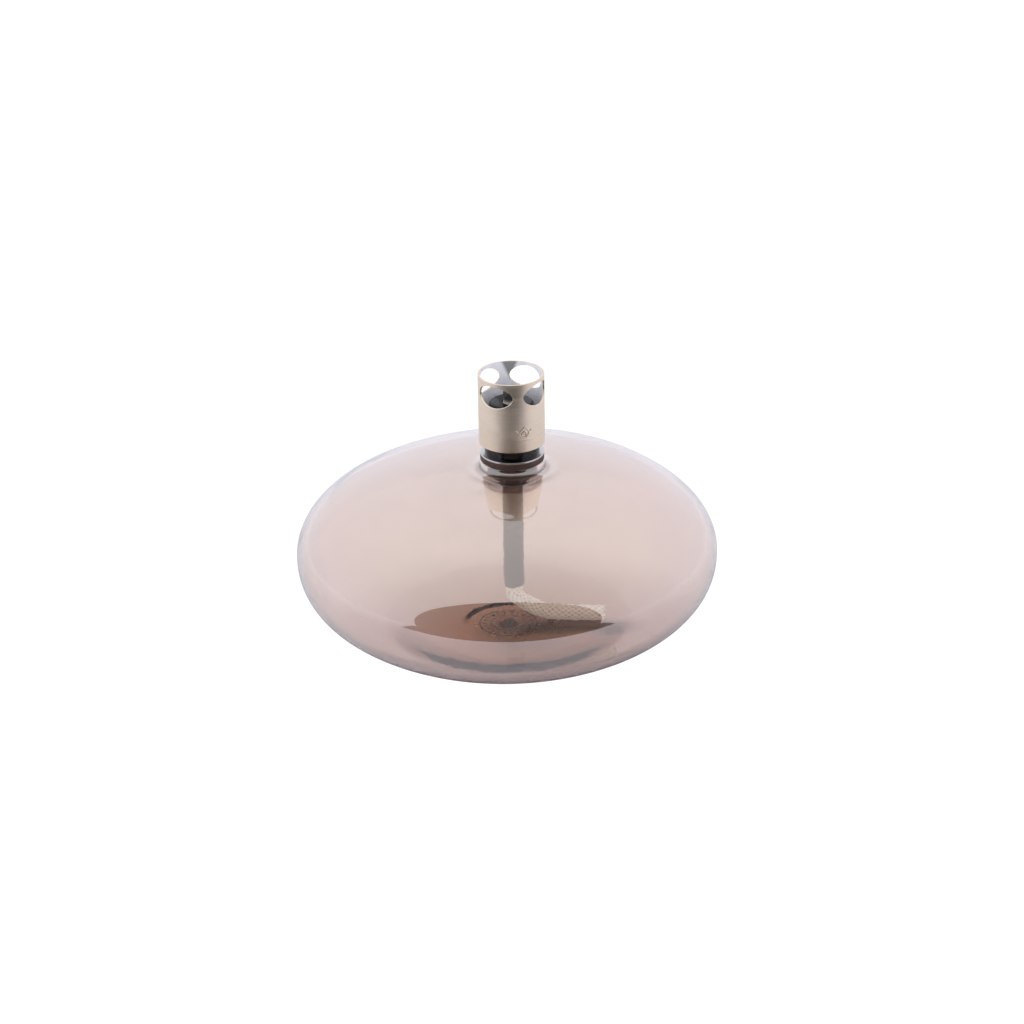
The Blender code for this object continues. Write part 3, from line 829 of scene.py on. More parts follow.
class LAMP_OT_add_label(bpy.types.Operator):
    """Clear film in the recess under the base, printed with a ring and a flame"""

    bl_idname = "lamp.add_label"
    bl_label = "Add Base Label"

    def execute(self, context):
        film, nodes, shader = new_material("clear film")
        nodes.smudged(shader, 260.0, (0.99, 0.99, 0.99), (0.97, 0.97, 0.96), (0.12, 0.3))
        shader.inputs["Transmission Weight"].default_value = 1.0
        shader.inputs["IOR"].default_value = 1.06
        high = LABEL.top - 0.05 * MM
        edge = 0.04 * MM
        side = [(LABEL.radius, high, edge), (LABEL.radius, LABEL.bottom, edge)]
        outline = rounded([(0.0, high, 0.0)] + side + [(0.0, LABEL.bottom, 0.0)])
        film_mesh = turned_mesh("label_film", outline, 96, on_axis=True)
        film_mesh.transform(Matrix.Translation((BODY_OFFSET, 0.0, 0.0)))
        add_piece("label_film", film_mesh, film, "vessel", ["base_label"])
        ink, nodes, shader = new_material("label ink")
        colour = context.scene.lamp_glass.print_colour
        nodes.smudged(shader, 700.0, colour, [value * 1.8 + 0.01 for value in colour], (0.4, 0.6))
        shader.inputs["Specular IOR Level"].default_value = 0.1
        print_mesh = label_print_mesh(LABEL.top - 0.04 * MM, LABEL.top)
        print_mesh.transform(Matrix.Translation((BODY_OFFSET, 0.0, 0.0)))
        add_piece("label_print", print_mesh, ink, "vessel")
        return {"FINISHED"}


# --- Seals ------------------------------------------------------------------


class LAMP_OT_add_seals(bpy.types.Operator):
    """Flat gasket under the flange and round seal in the neck"""

    bl_idname = "lamp.add_seals"
    bl_label = "Add Seals"

    def execute(self, context):
        rubber = silicone_rubber(context.scene.lamp_steel.silicone)
        span = (GLASS.top + HAIR, FLANGE.bottom - HAIR)
        ring = turned_mesh(
            "flange_gasket_ring", walled(PLUG.radius + HAIR, GASKET.radius, *span, 0.1 * MM, 0.35 * MM)
        )
        add_piece("flange_gasket_ring", ring, rubber, "burner", ["flange_gasket"])
        middle = 0.5 * (SEAL.bottom + SEAL.top)
        half = SEAL_SECTION_RADIUS
        section = arc_points((SEAL.radius - half, middle), (half, half), 0.0, TURN * 19 / 20, 19)
        ring = turned_mesh("neck_seal_ring", section)
        add_piece("neck_seal_ring", ring, rubber, "burner", ["neck_seal"])
        return {"FINISHED"}


# --- Burner -----------------------------------------------------------------


def grooved(radius, low, high, middle, half, floor, low_edge, high_edge):
    """Outline of a disc on the tube with a groove round it."""
    edge = 0.15 * MM
    return rounded(
        [
            (TUBE_HOLE_RADIUS, high, 0.0),
            (radius, high, high_edge),
            (radius, middle + half, edge),
            (floor, middle + half, edge),
            (floor, middle - half, edge),
            (radius, middle - half, edge),
            (radius, low, low_edge),
            (TUBE_HOLE_RADIUS, low, 0.0),
        ]
    )


def boss_outline():
    middle = 0.5 * (SPRING.bottom + SPRING.top)
    half = SPRING_WIRE_RADIUS + 0.2 * MM
    floor = SPRING.radius - 2 * SPRING_WIRE_RADIUS - 0.2 * MM
    return grooved(BOSS.radius, FLANGE.top + HAIR, BOSS.top, middle, half, floor, 0.15 * MM, 0.5 * MM)


def plug_outline():
    middle = PLUG.top - SEAL_DEPTH
    half = SEAL_SECTION_RADIUS + 0.2 * MM
    floor = SEAL.radius - 2 * SEAL_SECTION_RADIUS - 0.1 * MM
    return grooved(PLUG.radius, PLUG.bottom + HAIR, PLUG.top, middle, half, floor, 0.6 * MM, 0.15 * MM)


def nut_mesh():
    """A hexagonal nut whose corners are turned off at both ends, on a plain round hole."""
    shape = bmesh.new()
    steps = 96
    flat = 0.5 * NUT_ACROSS_FLATS
    corner = flat / math.cos(math.pi / 6)
    low = NUT.bottom
    high = WASHER.bottom - HAIR
    levels = 9
    rings = []
    for level in range(levels):
        share = level / (levels - 1)
        height = low + (high - low) * share
        from_end = min(height - low, high - height)
        # a 30 degree chamfer takes the corners back at both ends
        chamfer = flat * 0.97 + from_end / math.tan(math.radians(30))
        ring = []
        for step in range(steps):
            angle = TURN * step / steps
            from_flat = (angle % (math.pi / 3)) - math.pi / 6
            reach = min(flat / math.cos(from_flat), corner * 0.985, chamfer)
            ring.append(shape.verts.new((reach * math.cos(angle), reach * math.sin(angle), height)))
        rings.append(ring)
    inner = [level_ring(shape, TUBE_HOLE_RADIUS, height, steps) for height in (high, low)]
    loops = rings + inner + [rings[0]]
    for one, other in zip(loops, loops[1:]):
        bridge(shape, one, other)
    return finish_mesh(shape, "lock_nut_hex", math.radians(24))


def nozzle_outline():
    """A stem that widens to a shallow domed head round the wick."""
    head_base = NOZZLE.top - NOZZLE_HEAD_HEIGHT
    flare = NOZZLE.radius - NOZZLE_STEM_RADIUS
    pocket = NOZZLE.bottom + TUBE_RISE_IN_NOZZLE + 0.1 * MM
    dome = 0.5 * NOZZLE_HEAD_HEIGHT
    return rounded(
        [
            (TUBE_BORE_RADIUS, NOZZLE.top, 0.3 * MM),
            (NOZZLE.radius, NOZZLE.top, dome),
            (NOZZLE.radius, head_base, 0.2 * MM),
            (NOZZLE_STEM_RADIUS, head_base - flare, 0.6 * MM),
            (NOZZLE_STEM_RADIUS, BOSS.top + HAIR, 0.15 * MM),
            (TUBE_HOLE_RADIUS, BOSS.top + HAIR, 0.0),
            (TUBE_HOLE_RADIUS, pocket, 0.0),
            (TUBE_BORE_RADIUS, pocket, 0.0),
        ],
        8,
    )


def add_turned(name, outline, material, node, body="burner", steps=FINE_STEPS):
    mesh = turned_mesh(name, outline, steps)
    mark_edges(mesh)
    return add_piece(name, mesh, material, body, [node])


class LAMP_OT_add_clamp(bpy.types.Operator):
    """Flange, plug, washer and nut that clamp the burner to its seal"""

    bl_idname = "lamp.add_clamp"
    bl_label = "Add Flange and Clamp"

    def execute(self, context):
        steel = turned_metal("turned steel", list(context.scene.lamp_steel.flange), 0.22)
        outline = walled(TUBE_HOLE_RADIUS, FLANGE.radius, FLANGE.bottom, FLANGE.top, 0.0, 0.22 * MM)
        add_turned("flange_disc", outline, steel, "burner_flange")
        bronzed = turned_metal("bronzed steel", list(context.scene.lamp_steel.clamp), 0.35)
        add_turned("plug_sleeve", plug_outline(), bronzed, "neck_plug")
        edge = 0.2 * MM
        outline = walled(TUBE_HOLE_RADIUS, WASHER.radius, WASHER.bottom, PLUG.bottom - HAIR, edge, edge)
        add_turned("spring_washer", outline, bronzed, "lock_washer")
        nut = nut_mesh()
        mark_edges(nut)
        add_piece("clamp_nut", nut, bronzed, "burner", ["lock_nut"])
        return {"FINISHED"}


class LAMP_OT_add_seat(bpy.types.Operator):
    """Blackened seat for the cap, and the nozzle above it"""

    bl_idname = "lamp.add_seat"
    bl_label = "Add Seat and Nozzle"

    def execute(self, context):
        colour = list(context.scene.lamp_steel.black)
        black = turned_metal("blackened steel", colour, 0.18, lines=6.0, anisotropy=0.2, wear=0.12)
        add_turned("cap_seat", boss_outline(), black, "seat_boss")
        add_turned("nozzle_head", nozzle_outline(), black, "wick_nozzle")
        return {"FINISHED"}


class LAMP_OT_add_tube(bpy.types.Operator):
    """Drawn steel tube that holds the wick"""

    bl_idname = "lamp.add_tube"
    bl_label = "Add Wick Tube"

    def execute(self, context):
        colour = list(context.scene.lamp_steel.tube)
        steel = turned_metal("drawn steel", colour, 0.32, lines=5.0, bump=0.06, anisotropy=0.3)
        edge = 0.15 * MM
        outline = walled(TUBE_BORE_RADIUS, TUBE.radius, TUBE.bottom, TUBE.top, edge, edge)
        add_turned("wick_tube_drawn", outline, steel, "wick_tube", steps=72)
        return {"FINISHED"}


# --- Wick -------------------------------------------------------------------


BRAID_SIDES = 96
BRAID_RELIEF = 0.62 * MM
END_FIBRES = 110
# The steps in which a cut end closes: (share of its radius, bulge in mm)
CUT_END_STEPS = ((0.82, 0.14), (0.6, 0.22), (0.36, 0.26), (0.14, 0.27))


def braid_relief(turn, length, settings):
    """(depth 0 to 1, place across the strand, place along it) of the braid at an angle and a length."""
    strands = int(settings.strands)
    a = (turn / TURN + length / settings.pitch) * strands
    b = (turn / TURN - length / settings.pitch) * strands
    across_a, across_b = a % 1.0, b % 1.0
    over = 1.0 if (math.floor(a) + math.floor(b)) % 2 == 0 else -1.0
    lift = 0.30
    round_a = math.sqrt(max(0.0, 1.0 - (2.0 * across_a - 1.0) ** 2))
    round_b = math.sqrt(max(0.0, 1.0 - (2.0 * across_b - 1.0) ** 2))
    height_a = lift * over * math.sin(math.pi * across_b) + (1.0 - lift) * round_a
    height_b = -lift * over * math.sin(math.pi * across_a) + (1.0 - lift) * round_b
    if height_a > height_b:
        return height_a, across_a + math.floor(a), b
    return height_b, across_b + math.floor(b) + 31.0, a


def braid_mesh(name, centres, settings, radius, round_ends, fray, seed):
    """A braided rope along these centres, closed at both ends, with loose fibres at a cut end."""
    frames = []
    side = Vector((0.0, 1.0, 0.0))
    travelled = 0.0
    for index, centre in enumerate(centres):
        before = centres[max(0, index - 1)]
        after = centres[min(len(centres) - 1, index + 1)]
        forward = (after - before).normalized()
        side = (side - forward * side.dot(forward)).normalized()
        if index:
            travelled += (centre - centres[index - 1]).length
        frames.append((centre, forward, side, forward.cross(side), travelled))
    total = travelled
    shape = bmesh.new()
    depth_layer = shape.verts.layers.float.new("yarn_depth")
    across_layer = shape.verts.layers.float.new("yarn_across")
    along_layer = shape.verts.layers.float.new("yarn_along")

    def add_vert(place, depth, across, along):
        vert = shape.verts.new(place)
        vert[depth_layer] = depth
        vert[across_layer] = across
        vert[along_layer] = along
        return vert

    rings = []
    for centre, forward, side, up, length in frames:
        # the cut ends pull in a little
        from_end = min(length, total - length) / round_ends
        pull = 1.0 if from_end >= 1.0 else 0.86 + 0.14 * math.sqrt(max(0.0, from_end * (2.0 - from_end)))
        ring = []
        for step in range(BRAID_SIDES):
            turn = TURN * step / BRAID_SIDES
            depth, across, along = braid_relief(turn, length, settings)
            reach = pull * (radius - BRAID_RELIEF * (1.0 - depth))
            place = centre + (side * math.cos(turn) + up * math.sin(turn)) * reach
            ring.append(add_vert(place, depth, across, along))
        rings.append(ring)
    for ring, following in zip(rings, rings[1:]):
        bridge(shape, ring, following)
    for ring, data, sign in ((rings[0], frames[0], -1.0), (rings[-1], frames[-1], 1.0)):
        centre, forward, side, up, length = data
        previous = ring
        for share, bulge in CUT_END_STEPS:
            inner = []
            for step in range(BRAID_SIDES):
                turn = TURN * step / BRAID_SIDES
                ripple = 0.09 * MM * math.sin(9 * turn + 20 * share) * math.cos(4 * turn - 9 * share)
                place = centre + (side * math.cos(turn) + up * math.sin(turn)) * (radius * 0.86 * share)
                place += forward * sign * (bulge * MM + ripple)
                depth = 0.55 + 0.3 * math.sin(7 * turn + 30 * share)
                inner.append(add_vert(place, depth, 40 * share, 3 * turn))
            bridge(shape, previous, inner)
            previous = inner
        shape.faces.new(previous)
    source = random.Random(seed)
    for at_end in fray:
        centre, forward, side, up, length = frames[-1 if at_end else 0]
        outward = forward if at_end else -forward
        for _ in range(END_FIBRES):
            turn = source.uniform(0.0, TURN)
            reach = radius * math.sqrt(source.uniform(0.02, 0.85))
            root = centre + (side * math.cos(turn) + up * math.sin(turn)) * reach - outward * 0.3 * MM
            spread = (side * math.cos(turn) + up * math.sin(turn)) * source.uniform(-0.1, 0.45)
            aim = (outward + spread + up * source.uniform(-0.2, 0.2)).normalized()
            long = source.uniform(0.5, 1.5) * MM
            thick = source.uniform(0.035, 0.06) * MM
            bend = Vector([source.uniform(-1, 1) for _ in range(3)]) * 0.25 * long
            add_fibre(add_vert, shape, root, aim, long, thick, bend)
    return finish_mesh(shape, name, math.radians(80))


def add_fibre(add_vert, shape, root, aim, long, thick, bend):
    """One loose fibre: a three-sided tube that tapers and bends a little."""
    wide = aim.orthogonal().normalized()
    high = aim.cross(wide)
    rings = []
    for share in (0.0, 0.5, 1.0):
        middle = root + aim * (long * share) + bend * share * share
        ring = []
        for corner in range(3):
            turn = TURN * corner / 3
            offset = (wide * math.cos(turn) + high * math.sin(turn)) * thick * (1.0 - 0.6 * share)
            ring.append(add_vert(middle + offset, 0.95, 3.0 * corner, share))
        rings.append(ring)
    for ring, following in zip(rings, rings[1:]):
        bridge(shape, ring, following)
    shape.faces.new(rings[0])
    shape.faces.new(rings[-1])


def mark_char(mesh):
    """Stores how far each point of a wick at rest is burnt: 0 below CHAR, 1 above it."""
    low, high = CHAR
    burnt = [min(1.0, max(0.0, (vert.co.z - low) / (high - low))) for vert in mesh.vertices]
    store_values(mesh, "char", burnt)


def straight_line(low, high, spacing):
    count = max(2, round((high - low) / spacing))
    return [Vector((0.0, 0.0, low + (high - low) * step / count)) for step in range(count + 1)]


class LAMP_OT_add_wick(bpy.types.Operator):
    """Braided wick in its tube, and its free end on the glass floor"""

    bl_idname = "lamp.add_wick"
    bl_label = "Add Wick"

    def execute(self, context):
        settings = context.scene.lamp_wick
        cotton = braided_cotton(settings)
        bottom = TAIL_TOP + HAIR
        line = straight_line(bottom, WICK.top - 0.3 * MM, 0.4 * MM)
        stem_mesh = braid_mesh("wick_in_tube", line, settings, WICK.radius, 0.9 * MM, [True], 5)
        mark_char(stem_mesh)
        add_piece("wick_in_tube", stem_mesh, cotton, "wick", ["wick_stem"])
        drop = TAIL_TOP - TAIL_LIE_HEIGHT
        stations = [Vector((x, y, TAIL_LIE_HEIGHT + share * drop)) for x, y, share in TAIL_ROUTE]
        centres = smooth_route(stations, 18)
        tail_mesh = braid_mesh("free_wick", centres, settings, WICK.radius, 1.2 * MM, [True], 11)
        mark_char(tail_mesh)
        tail = add_piece("free_wick", tail_mesh, cotton, None, ["wick_tail"])
        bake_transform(tail)
        length = sum((after - before).length for before, after in zip(centres, centres[1:]))
        [tuple(centre) for centre in centres[::3]]
        return {"FINISHED"}


# --- Grip spring and cap ----------------------------------------------------


def spring_mesh():
    """An open wire ring with its ends cut square."""
    shape = bmesh.new()
    sections = 140
    sides = 14
    sweep = TURN - SPRING_OPENING
    middle = 0.5 * (SPRING.bottom + SPRING.top)
    ring_radius = SPRING.radius - SPRING_WIRE_RADIUS
    rings = []
    for section in range(sections + 1):
        turn = 0.5 * SPRING_OPENING + sweep * section / sections
        ring = []
        for side in range(sides):
            angle = TURN * side / sides
            radius = ring_radius + SPRING_WIRE_RADIUS * math.cos(angle)
            height = middle + SPRING_WIRE_RADIUS * math.sin(angle)
            ring.append(shape.verts.new((radius * math.cos(turn), radius * math.sin(turn), height)))
        rings.append(ring)
    for ring, following in zip(rings, rings[1:]):
        bridge(shape, ring, following)
    shape.faces.new(rings[0])
    shape.faces.new(rings[-1])
    return finish_mesh(shape, "grip_spring_wire", math.radians(50))


class LAMP_OT_add_spring(bpy.types.Operator):
    """Bright wire ring that holds the cap on its seat"""

    bl_idname = "lamp.add_spring"
    bl_label = "Add Grip Spring"

    def execute(self, context):
        mesh = spring_mesh()
        mark_edges(mesh)
        colour = list(context.scene.lamp_steel.spring)
        wire = turned_metal("spring wire", colour, 0.16, lines=3.0, bump=0.04, anisotropy=0.0)
        add_piece("grip_spring_wire", mesh, wire, "cap_spring", ["grip_spring"])
        return {"FINISHED"}


def wall_point(radius, turn, height):
    return Vector((radius * math.cos(turn), radius * math.sin(turn), height))


def cap_mesh():
    """A thin wall with an oval vent in each quarter, built flat to the wall and thickened by a modifier."""
    shape = bmesh.new()
    pitch = TURN / VENT_COUNT
    vent_middle = CAP.top - VENT_TOP_MARGIN - 0.5 * VENT_HEIGHT
    half_chord = CAP.radius * math.sin(0.5 * pitch - 0.5 * VENT_STRIP_WIDTH / CAP.radius)
    half_height = 0.5 * VENT_HEIGHT
    patch_bottom = vent_middle - half_height - 1.4 * MM
    across_half = 0.5 * pitch
    top = CAP.top
    per_side = 24
    rim_corners = [
        (across_half, top - vent_middle),
        (-across_half, top - vent_middle),
        (-across_half, patch_bottom - vent_middle),
        (across_half, patch_bottom - vent_middle),
    ]
    rows = 5
    columns = []
    for vent in range(VENT_COUNT):
        turn = -QUARTER + VENT_STRIP_ANGLE + (vent + 0.5) * pitch
        border = []
        for index in range(4):
            (across, up), (next_across, next_up) = rim_corners[index], rim_corners[(index + 1) % 4]
            for step in range(per_side):
                share = step / per_side
                border.append((across + (next_across - across) * share, up + (next_up - up) * share))
        loops = []
        for row in range(rows + 1):
            share = (row / rows) ** 1.5
            loop = []
            for across, up in border:
                # the same direction from the vent's middle, on its oval edge
                aim = math.atan2(up / half_height, CAP.radius * math.sin(across) / half_chord)
                edge_turn = math.asin(half_chord * math.cos(aim) / CAP.radius)
                edge_up = half_height * math.sin(aim)
                here = edge_turn + (across - edge_turn) * share
                height = edge_up + (up - edge_up) * share
                loop.append(shape.verts.new(wall_point(CAP.radius, turn + here, vent_middle + height)))
            loops.append(loop)
        for inner, outer in zip(loops, loops[1:]):
            bridge(shape, inner, outer)
        columns.append(loops[-1][2 * per_side : 3 * per_side + 1])
    levels = 14
    for low_side in columns:
        previous = low_side
        for level in range(1, levels + 1):
            height = patch_bottom + (CAP.bottom - patch_bottom) * level / levels
            following = [shape.verts.new((vert.co.x, vert.co.y, height)) for vert in low_side]
            bridge(shape, previous, following, closed=False)
            previous = following
    bmesh.ops.remove_doubles(shape, verts=shape.verts, dist=0.002 * MM)
    bmesh.ops.recalc_face_normals(shape, faces=shape.faces)
    if sum(face.normal.dot(face.calc_center_median()) for face in shape.faces) < 0.0:
        bmesh.ops.reverse_faces(shape, faces=shape.faces)
    mesh = bpy.data.meshes.new("vented_cap")
    shape.to_mesh(mesh)
    shape.free()
    mesh.shade_smooth()
    return mesh


def relief_line(shape, points, thickness, closed):
    """A raised bead along points (turn, height) on the cap's wall, half sunk in it."""
    sides = 6
    count = len(points)
    places = [wall_point(CAP.radius - 0.1 * thickness, turn, height) for turn, height in points]
    rings = []
    for index, (turn, _) in enumerate(points):
        before = places[(index - 1) % count if closed else max(0, index - 1)]
        after = places[(index + 1) % count if closed else min(count - 1, index + 1)]
        forward = (after - before).normalized()
        out = Vector((math.cos(turn), math.sin(turn), 0.0))
        along = forward.cross(out).normalized()
        from_end = min(0.5, index / count, 1 - index / count)
        taper = 1.0 if closed else 0.25 + 0.75 * math.sin(math.pi * from_end)
        ring = []
        for side in range(sides):
            angle = TURN * side / sides
            offset = (out * math.sin(angle) + along * math.cos(angle) * 1.3) * 0.5 * thickness * taper
            ring.append(shape.verts.new(places[index] + offset))
        rings.append(ring)
    if closed:
        rings.append(rings[0])
    for ring, following in zip(rings, rings[1:]):
        bridge(shape, ring, following)
    if not closed:
        shape.faces.new(rings[0])
        shape.faces.new(rings[-1])


EMBLEM_TURN = -QUARTER + math.radians(21.5)
EMBLEM_HEIGHT = 100.9 * MM


def emblem_mesh():
    """A plain raised device: a flame between two curling leaves, over a shallow arc."""
    shape = bmesh.new()
    bead = 0.5 * MM

    def on_wall(points, up=0.0):
        return [(EMBLEM_TURN + x / CAP.radius, EMBLEM_HEIGHT + y + up) for x, y in points]

    relief_line(shape, on_wall(flame_points(5.0 * MM, 36), up=0.4 * MM), bead, True)
    relief_line(shape, on_wall(flame_points(2.4 * MM, 24), up=-0.3 * MM), bead, True)
    for sign in (-1, 1):
        leaf = []
        for step in range(15):
            share = step / 14
            leaf.append((sign * (1.9 + 3.0 * share) * MM, (-0.9 + 2.1 * math.sin(2.6 * share)) * MM))
        relief_line(shape, on_wall(leaf), bead, False)
    arc = []
    for step in range(29):
        share = step / 28 - 0.5
        arc.append((12.0 * share * MM, (-3.3 + 2.6 * share * share) * MM))
    relief_line(shape, on_wall(arc), bead, False)
    return finish_mesh(shape, "cap_emblem", math.radians(70))


class LAMP_OT_add_cap(bpy.types.Operator):
    """Vented cap with its seat ring and a raised flame on its wall"""

    bl_idname = "lamp.add_cap"
    bl_label = "Add Cap"

    def execute(self, context):
        colour = list(context.scene.lamp_steel.cap)
        steel = turned_metal("brushed cap steel", colour, 0.34, lines=7.0, bump=0.16, anisotropy=0.65)
        mesh = cap_mesh()
        cap = add_piece("vented_cap", mesh, steel, "cap", ["vent_cap"])
        mesh.materials.append(polished_inner_wall())
        wall = cap.modifiers.new("Wall", "SOLIDIFY")
        wall.thickness = CAP_WALL
        wall.offset = -1.0
        wall.use_even_offset = True
        wall.material_offset = 1
        edges = cap.modifiers.new("Edges", "BEVEL")
        edges.width = 0.14 * MM
        edges.segments = 3
        edges.limit_method = "ANGLE"
        edges.angle_limit = math.radians(50)
        edges.harden_normals = True
        ring = walled(SEAT_RING_HOLE, SEAT.radius, SEAT.bottom, SEAT.top, 0.15 * MM, 0.1 * MM)
        add_turned("cap_seat_ring", ring, steel, "seat_ring", "cap")
        add_piece("cap_emblem", emblem_mesh(), steel, "cap")
        return {"FINISHED"}


# --- Stage ------------------------------------------------------------------

CAMERA_PLACE = Vector((-0.0005, -1.1310, 0.5896))
CAMERA_AIM = Vector((-0.0005, 0.0, 0.0574))
CAMERA_LENS_MM = 100.3
CAMERA_ROLL = math.radians(-0.95)
# A dark disc round the camera, seen only in reflections: a painted dark reflection in the lamp's front
DARK_DISC_DISTANCE = 0.80
DARK_DISC_RADIUS = 0.86
DARK_DISC_RISE = math.radians(9)
FLOOR_RADIUS = 8.0
FLOOR_HEIGHT = -0.5 * MM


def stage_disc(name, radius, height, steps=96):
    shape = bmesh.new()
    bmesh.ops.create_circle(shape, cap_ends=True, segments=steps, radius=radius)
    for vert in shape.verts:
        vert.co.z = height
    mesh = bpy.data.meshes.new(name)
    shape.to_mesh(mesh)
    shape.free()
    return mesh


def add_stage_object(name, mesh, material):
    mesh.materials.append(material)
    thing = bpy.data.objects.new(name, mesh)
    bpy.context.scene.collection.objects.link(thing)
    thing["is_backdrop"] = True
    return thing


def flat_card(name, corners, material):
    shape = bmesh.new()
    shape.faces.new([shape.verts.new(corner) for corner in corners])
    mesh = bpy.data.meshes.new(name)
    shape.to_mesh(mesh)
    shape.free()
    return add_stage_object(name, mesh, material)


# Painted light and shade on the floor below the lamp, seen through the glass: (share of 0.1 m from its
# middle, colour)
PAINTED_UNDER_LAMP_STOPS = [
    (0.14, (0.20, 0.10, 0.055)),
    (0.28, (0.40, 0.22, 0.15)),
    (0.45, (0.48, 0.34, 0.29)),
    (0.66, (0.62, 0.50, 0.49)),
    (0.95, (0.91, 0.86, 0.88)),
]
PAINTED_UNDER_LAMP_MIDDLE = (0.005, -0.008)
# The free wick's painted shadow there: its middle and its half length and half width
PAINTED_WICK_SHADOW_MIDDLE = (0.024, -0.003)
PAINTED_WICK_SHADOW_HALF = (0.036, 0.009)


def distance_from(nodes, centre):
    """Distance in metres of the shaded point from a centre on the floor."""
    return nodes.vector("DISTANCE", nodes.place(), (*centre, 0.0))


def outside_oval(nodes, middle, half):
    """0 in an oval patch of the floor, and 1 away from it."""
    shifted = nodes.vector("SUBTRACT", nodes.place(), (*middle, 0.0))
    reach = nodes.vector("LENGTH", nodes.vector("DIVIDE", shifted, (*half, 1.0)))
    return nodes.span(reach, 0.45, 1.2, smooth=True)


def floor_material(settings):
    """A pale floor that is bright by itself.

    Seen through the glass it carries a painted copper-brown pool of light and shade, for the light that
    falls there through the same glass. Mirrored in the glass it carries painted shade towards the lamp.
    Seen straight on it carries a painted contact shadow right at the base.
    """
    material, nodes, shader = new_material("studio floor")
    smudges = nodes.group(smudge_group(), Size=3.0, Amount=1.0)
    darker = [value * 0.985 for value in settings.floor]
    nodes.put(shader.inputs["Base Color"], nodes.mix(smudges.outputs["Mask"], settings.floor, darker))
    # painted pool of light and shade under the lamp, copper brown, seen through the glass
    through = nodes.add("ShaderNodeValToRGB")
    nodes.put(through.inputs["Fac"], nodes.span(distance_from(nodes, PAINTED_UNDER_LAMP_MIDDLE), 0.0, 0.1))
    ramp = through.color_ramp
    stops = [(0.0, settings.painted_under_lamp)] + PAINTED_UNDER_LAMP_STOPS
    ramp.elements[0].position, ramp.elements[0].color = stops[0][0], (*stops[0][1], 1.0)
    ramp.elements[1].position, ramp.elements[1].color = stops[-1][0], (*stops[-1][1], 1.0)
    for place, colour in stops[1:-1]:
        ramp.elements.new(place).color = (*colour, 1.0)
    # painted shadow of the free wick on the floor under the lamp
    unshaded = outside_oval(nodes, PAINTED_WICK_SHADOW_MIDDLE, PAINTED_WICK_SHADOW_HALF)
    painted_shade = nodes.mix(unshaded, (0.16, 0.13, 0.12), (1.0, 1.0, 1.0))
    below = nodes.mix(1.0, through.outputs["Color"], painted_shade, "MULTIPLY")
    # painted shade in the floor's reflection, darker towards the lamp, for the lamp's own shadow
    from_lamp = distance_from(nodes, (0.0, 0.0))
    steepness = nodes.maths("DIVIDE", EQUATOR_HEIGHT, from_lamp)
    mirrored = nodes.mix(nodes.span(steepness, 0.0, 0.62), (0.90, 0.91, 1.0), (0.10, 0.08, 0.10))
    # painted contact shadow right at the base, seen straight on
    away = nodes.span(from_lamp, 0.034, 0.048, smooth=True)
    direct = nodes.mix(away, (0.55, 0.50, 0.50), (1.0, 1.0, 1.0))
    path = nodes.add("ShaderNodeLightPath")
    seen = nodes.mix(path.outputs["Is Glossy Ray"], direct, mirrored)
    seen = nodes.mix(path.outputs["Is Transmission Ray"], seen, below)
    nodes.put(shader.inputs["Emission Color"], seen)
    shader.inputs["Roughness"].default_value = 0.9
    shader.inputs["Specular IOR Level"].default_value = 0.0
    shader.inputs["Emission Strength"].default_value = settings.glow
    return material


def card_material(name, colour):
    material = bpy.data.materials.new(name)
    material.use_nodes = True
    shader = material.node_tree.nodes["Principled BSDF"]
    shader.inputs["Base Color"].default_value = (0.0, 0.0, 0.0, 1.0)
    shader.inputs["Specular IOR Level"].default_value = 0.0
    shader.inputs["Emission Color"].default_value = (*colour, 1.0)
    shader.inputs["Emission Strength"].default_value = 1.0
    return material


def show_only_to(thing, kind):
    """Hides a stage card from every kind of ray but one."""
    thing.visible_camera = False
    thing.visible_diffuse = False
    thing.visible_shadow = False
    thing.visible_volume_scatter = False
    thing.visible_glossy = kind == "GLOSSY"
    thing.visible_transmission = kind == "TRANSMISSION"


def room_world(colour, strength):
    world = bpy.data.worlds.new("white room")
    world.use_nodes = True
    nodes = Nodes(world.node_tree)
    background = world.node_tree.nodes["Background"]
    direction = nodes.add("ShaderNodeSeparateXYZ")
    nodes.link(nodes.add("ShaderNodeTexCoord").outputs["Generated"], direction.inputs[0])
    height = nodes.span(direction.outputs["Z"], 0.0, 0.9)
    nodes.put(background.inputs["Color"], nodes.mix(height, colour, (1.0, 1.0, 1.0)))
    background.inputs["Strength"].default_value = strength
    return world


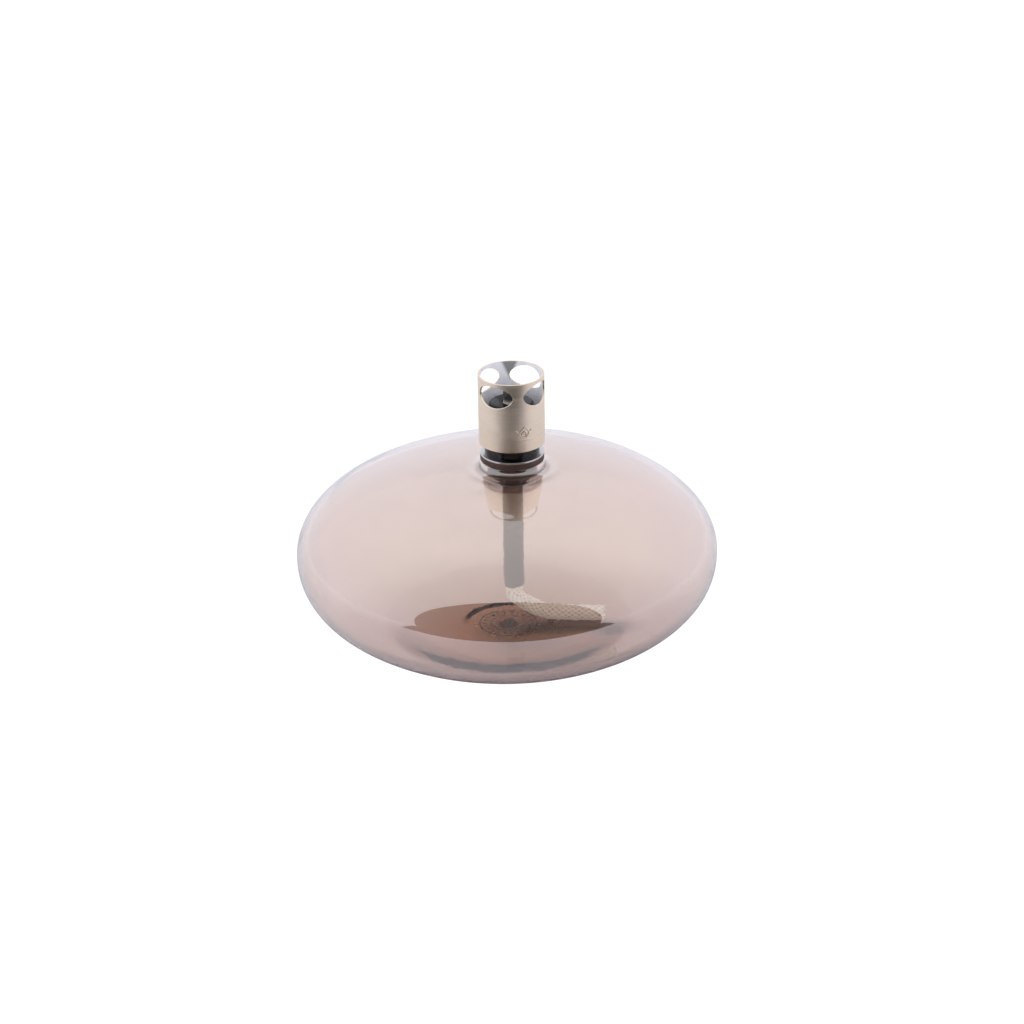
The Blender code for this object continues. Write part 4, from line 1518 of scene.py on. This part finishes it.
class LAMP_OT_add_stage(bpy.types.Operator):
    """Pale floor, soft light and the camera"""

    bl_idname = "lamp.add_stage"
    bl_label = "Add Stage"

    def execute(self, context):
        scene = context.scene
        settings = scene.lamp_stage
        scene.view_settings.view_transform = "Standard"
        scene.world = room_world(settings.room, settings.sky)
        floor = stage_disc("studio_floor", FLOOR_RADIUS, FLOOR_HEIGHT)
        add_stage_object("studio_floor", floor, floor_material(settings))
        dark = card_material("dark card", (0.02, 0.018, 0.02))
        # painted shadow of the lamp on the floor in front of it: a dark card seen only in reflections
        corners = [(-0.24, -0.21, 0.0), (0.24, -0.21, 0.0), (1.30, -1.15, 0.0), (-1.30, -1.15, 0.0)]
        painted_shade = flat_card("painted_front_shadow", corners, dark)
        show_only_to(painted_shade, "GLOSSY")
        # painted dark reflection round the camera: a dark disc seen only in reflections
        dark_disc = add_stage_object("painted_dark_reflection", stage_disc("painted_dark_reflection", DARK_DISC_RADIUS, 0.0), dark)
        facing = Vector((0.0, -math.cos(DARK_DISC_RISE), math.sin(DARK_DISC_RISE)))
        dark_disc.location = facing * DARK_DISC_DISTANCE + Vector((0.0, 0.0, EQUATOR_HEIGHT))
        dark_disc.rotation_euler = facing.to_track_quat("Z", "Y").to_euler()
        show_only_to(dark_disc, "GLOSSY")
        camera_data = bpy.data.cameras.new("studio camera")
        camera_data.sensor_width = 36.0
        camera_data.lens = CAMERA_LENS_MM
        camera = bpy.data.objects.new("studio camera", camera_data)
        scene.collection.objects.link(camera)
        camera.location = CAMERA_PLACE
        look = (CAMERA_AIM - CAMERA_PLACE).to_track_quat("-Z", "Y").to_matrix()
        camera.rotation_euler = (look @ Matrix.Rotation(CAMERA_ROLL, 3, "Z")).to_euler()
        scene.camera = camera
        return {"FINISHED"}


# --- Panel and start --------------------------------------------------------


class LAMP_PT_pieces(bpy.types.Panel):
    """Buttons for each group of pieces, with their sizes and colours"""

    bl_label = "Oil Lamp"
    bl_idname = "LAMP_PT_pieces"
    bl_space_type = "VIEW_3D"
    bl_region_type = "UI"
    bl_category = "Oil Lamp"

    def draw(self, context):
        scene = context.scene
        for operator in OPERATORS:
            self.layout.operator(operator.bl_idname)
        for settings in (scene.lamp_glass, scene.lamp_steel, scene.lamp_wick, scene.lamp_stage):
            box = self.layout.box()
            for name in settings.bl_rna.properties.keys():
                if name not in ("rna_type", "name"):
                    box.prop(settings, name)


SETTINGS = {
    "lamp_glass": LampGlassSettings,
    "lamp_steel": LampSteelSettings,
    "lamp_wick": LampWickSettings,
    "lamp_stage": LampStageSettings,
}
OPERATORS = (
    LAMP_OT_add_stage,
    LAMP_OT_add_wick,
    LAMP_OT_add_reservoir,
    LAMP_OT_add_label,
    LAMP_OT_add_seals,
    LAMP_OT_add_clamp,
    LAMP_OT_add_seat,
    LAMP_OT_add_tube,
    LAMP_OT_add_spring,
    LAMP_OT_add_cap,
)


def register():
    for settings in SETTINGS.values():
        bpy.utils.register_class(settings)
    for name, settings in SETTINGS.items():
        setattr(bpy.types.Scene, name, PointerProperty(type=settings))
    for operator in OPERATORS:
        bpy.utils.register_class(operator)
    bpy.utils.register_class(LAMP_PT_pieces)


def unregister():
    bpy.utils.unregister_class(LAMP_PT_pieces)
    for operator in reversed(OPERATORS):
        bpy.utils.unregister_class(operator)
    for name, settings in SETTINGS.items():
        delattr(bpy.types.Scene, name)
        bpy.utils.unregister_class(settings)


def main():
    register()
    for operator in OPERATORS:
        group, name = operator.bl_idname.split(".")
        getattr(getattr(bpy.ops, group), name)()
    bpy.context.view_layer.update()
    boxes = {"cad": CAD_BOX, "visual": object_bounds()}
    {name: [list(corner) for corner in box] for name, box in boxes.items()}


if __name__ == "__main__":
    main()
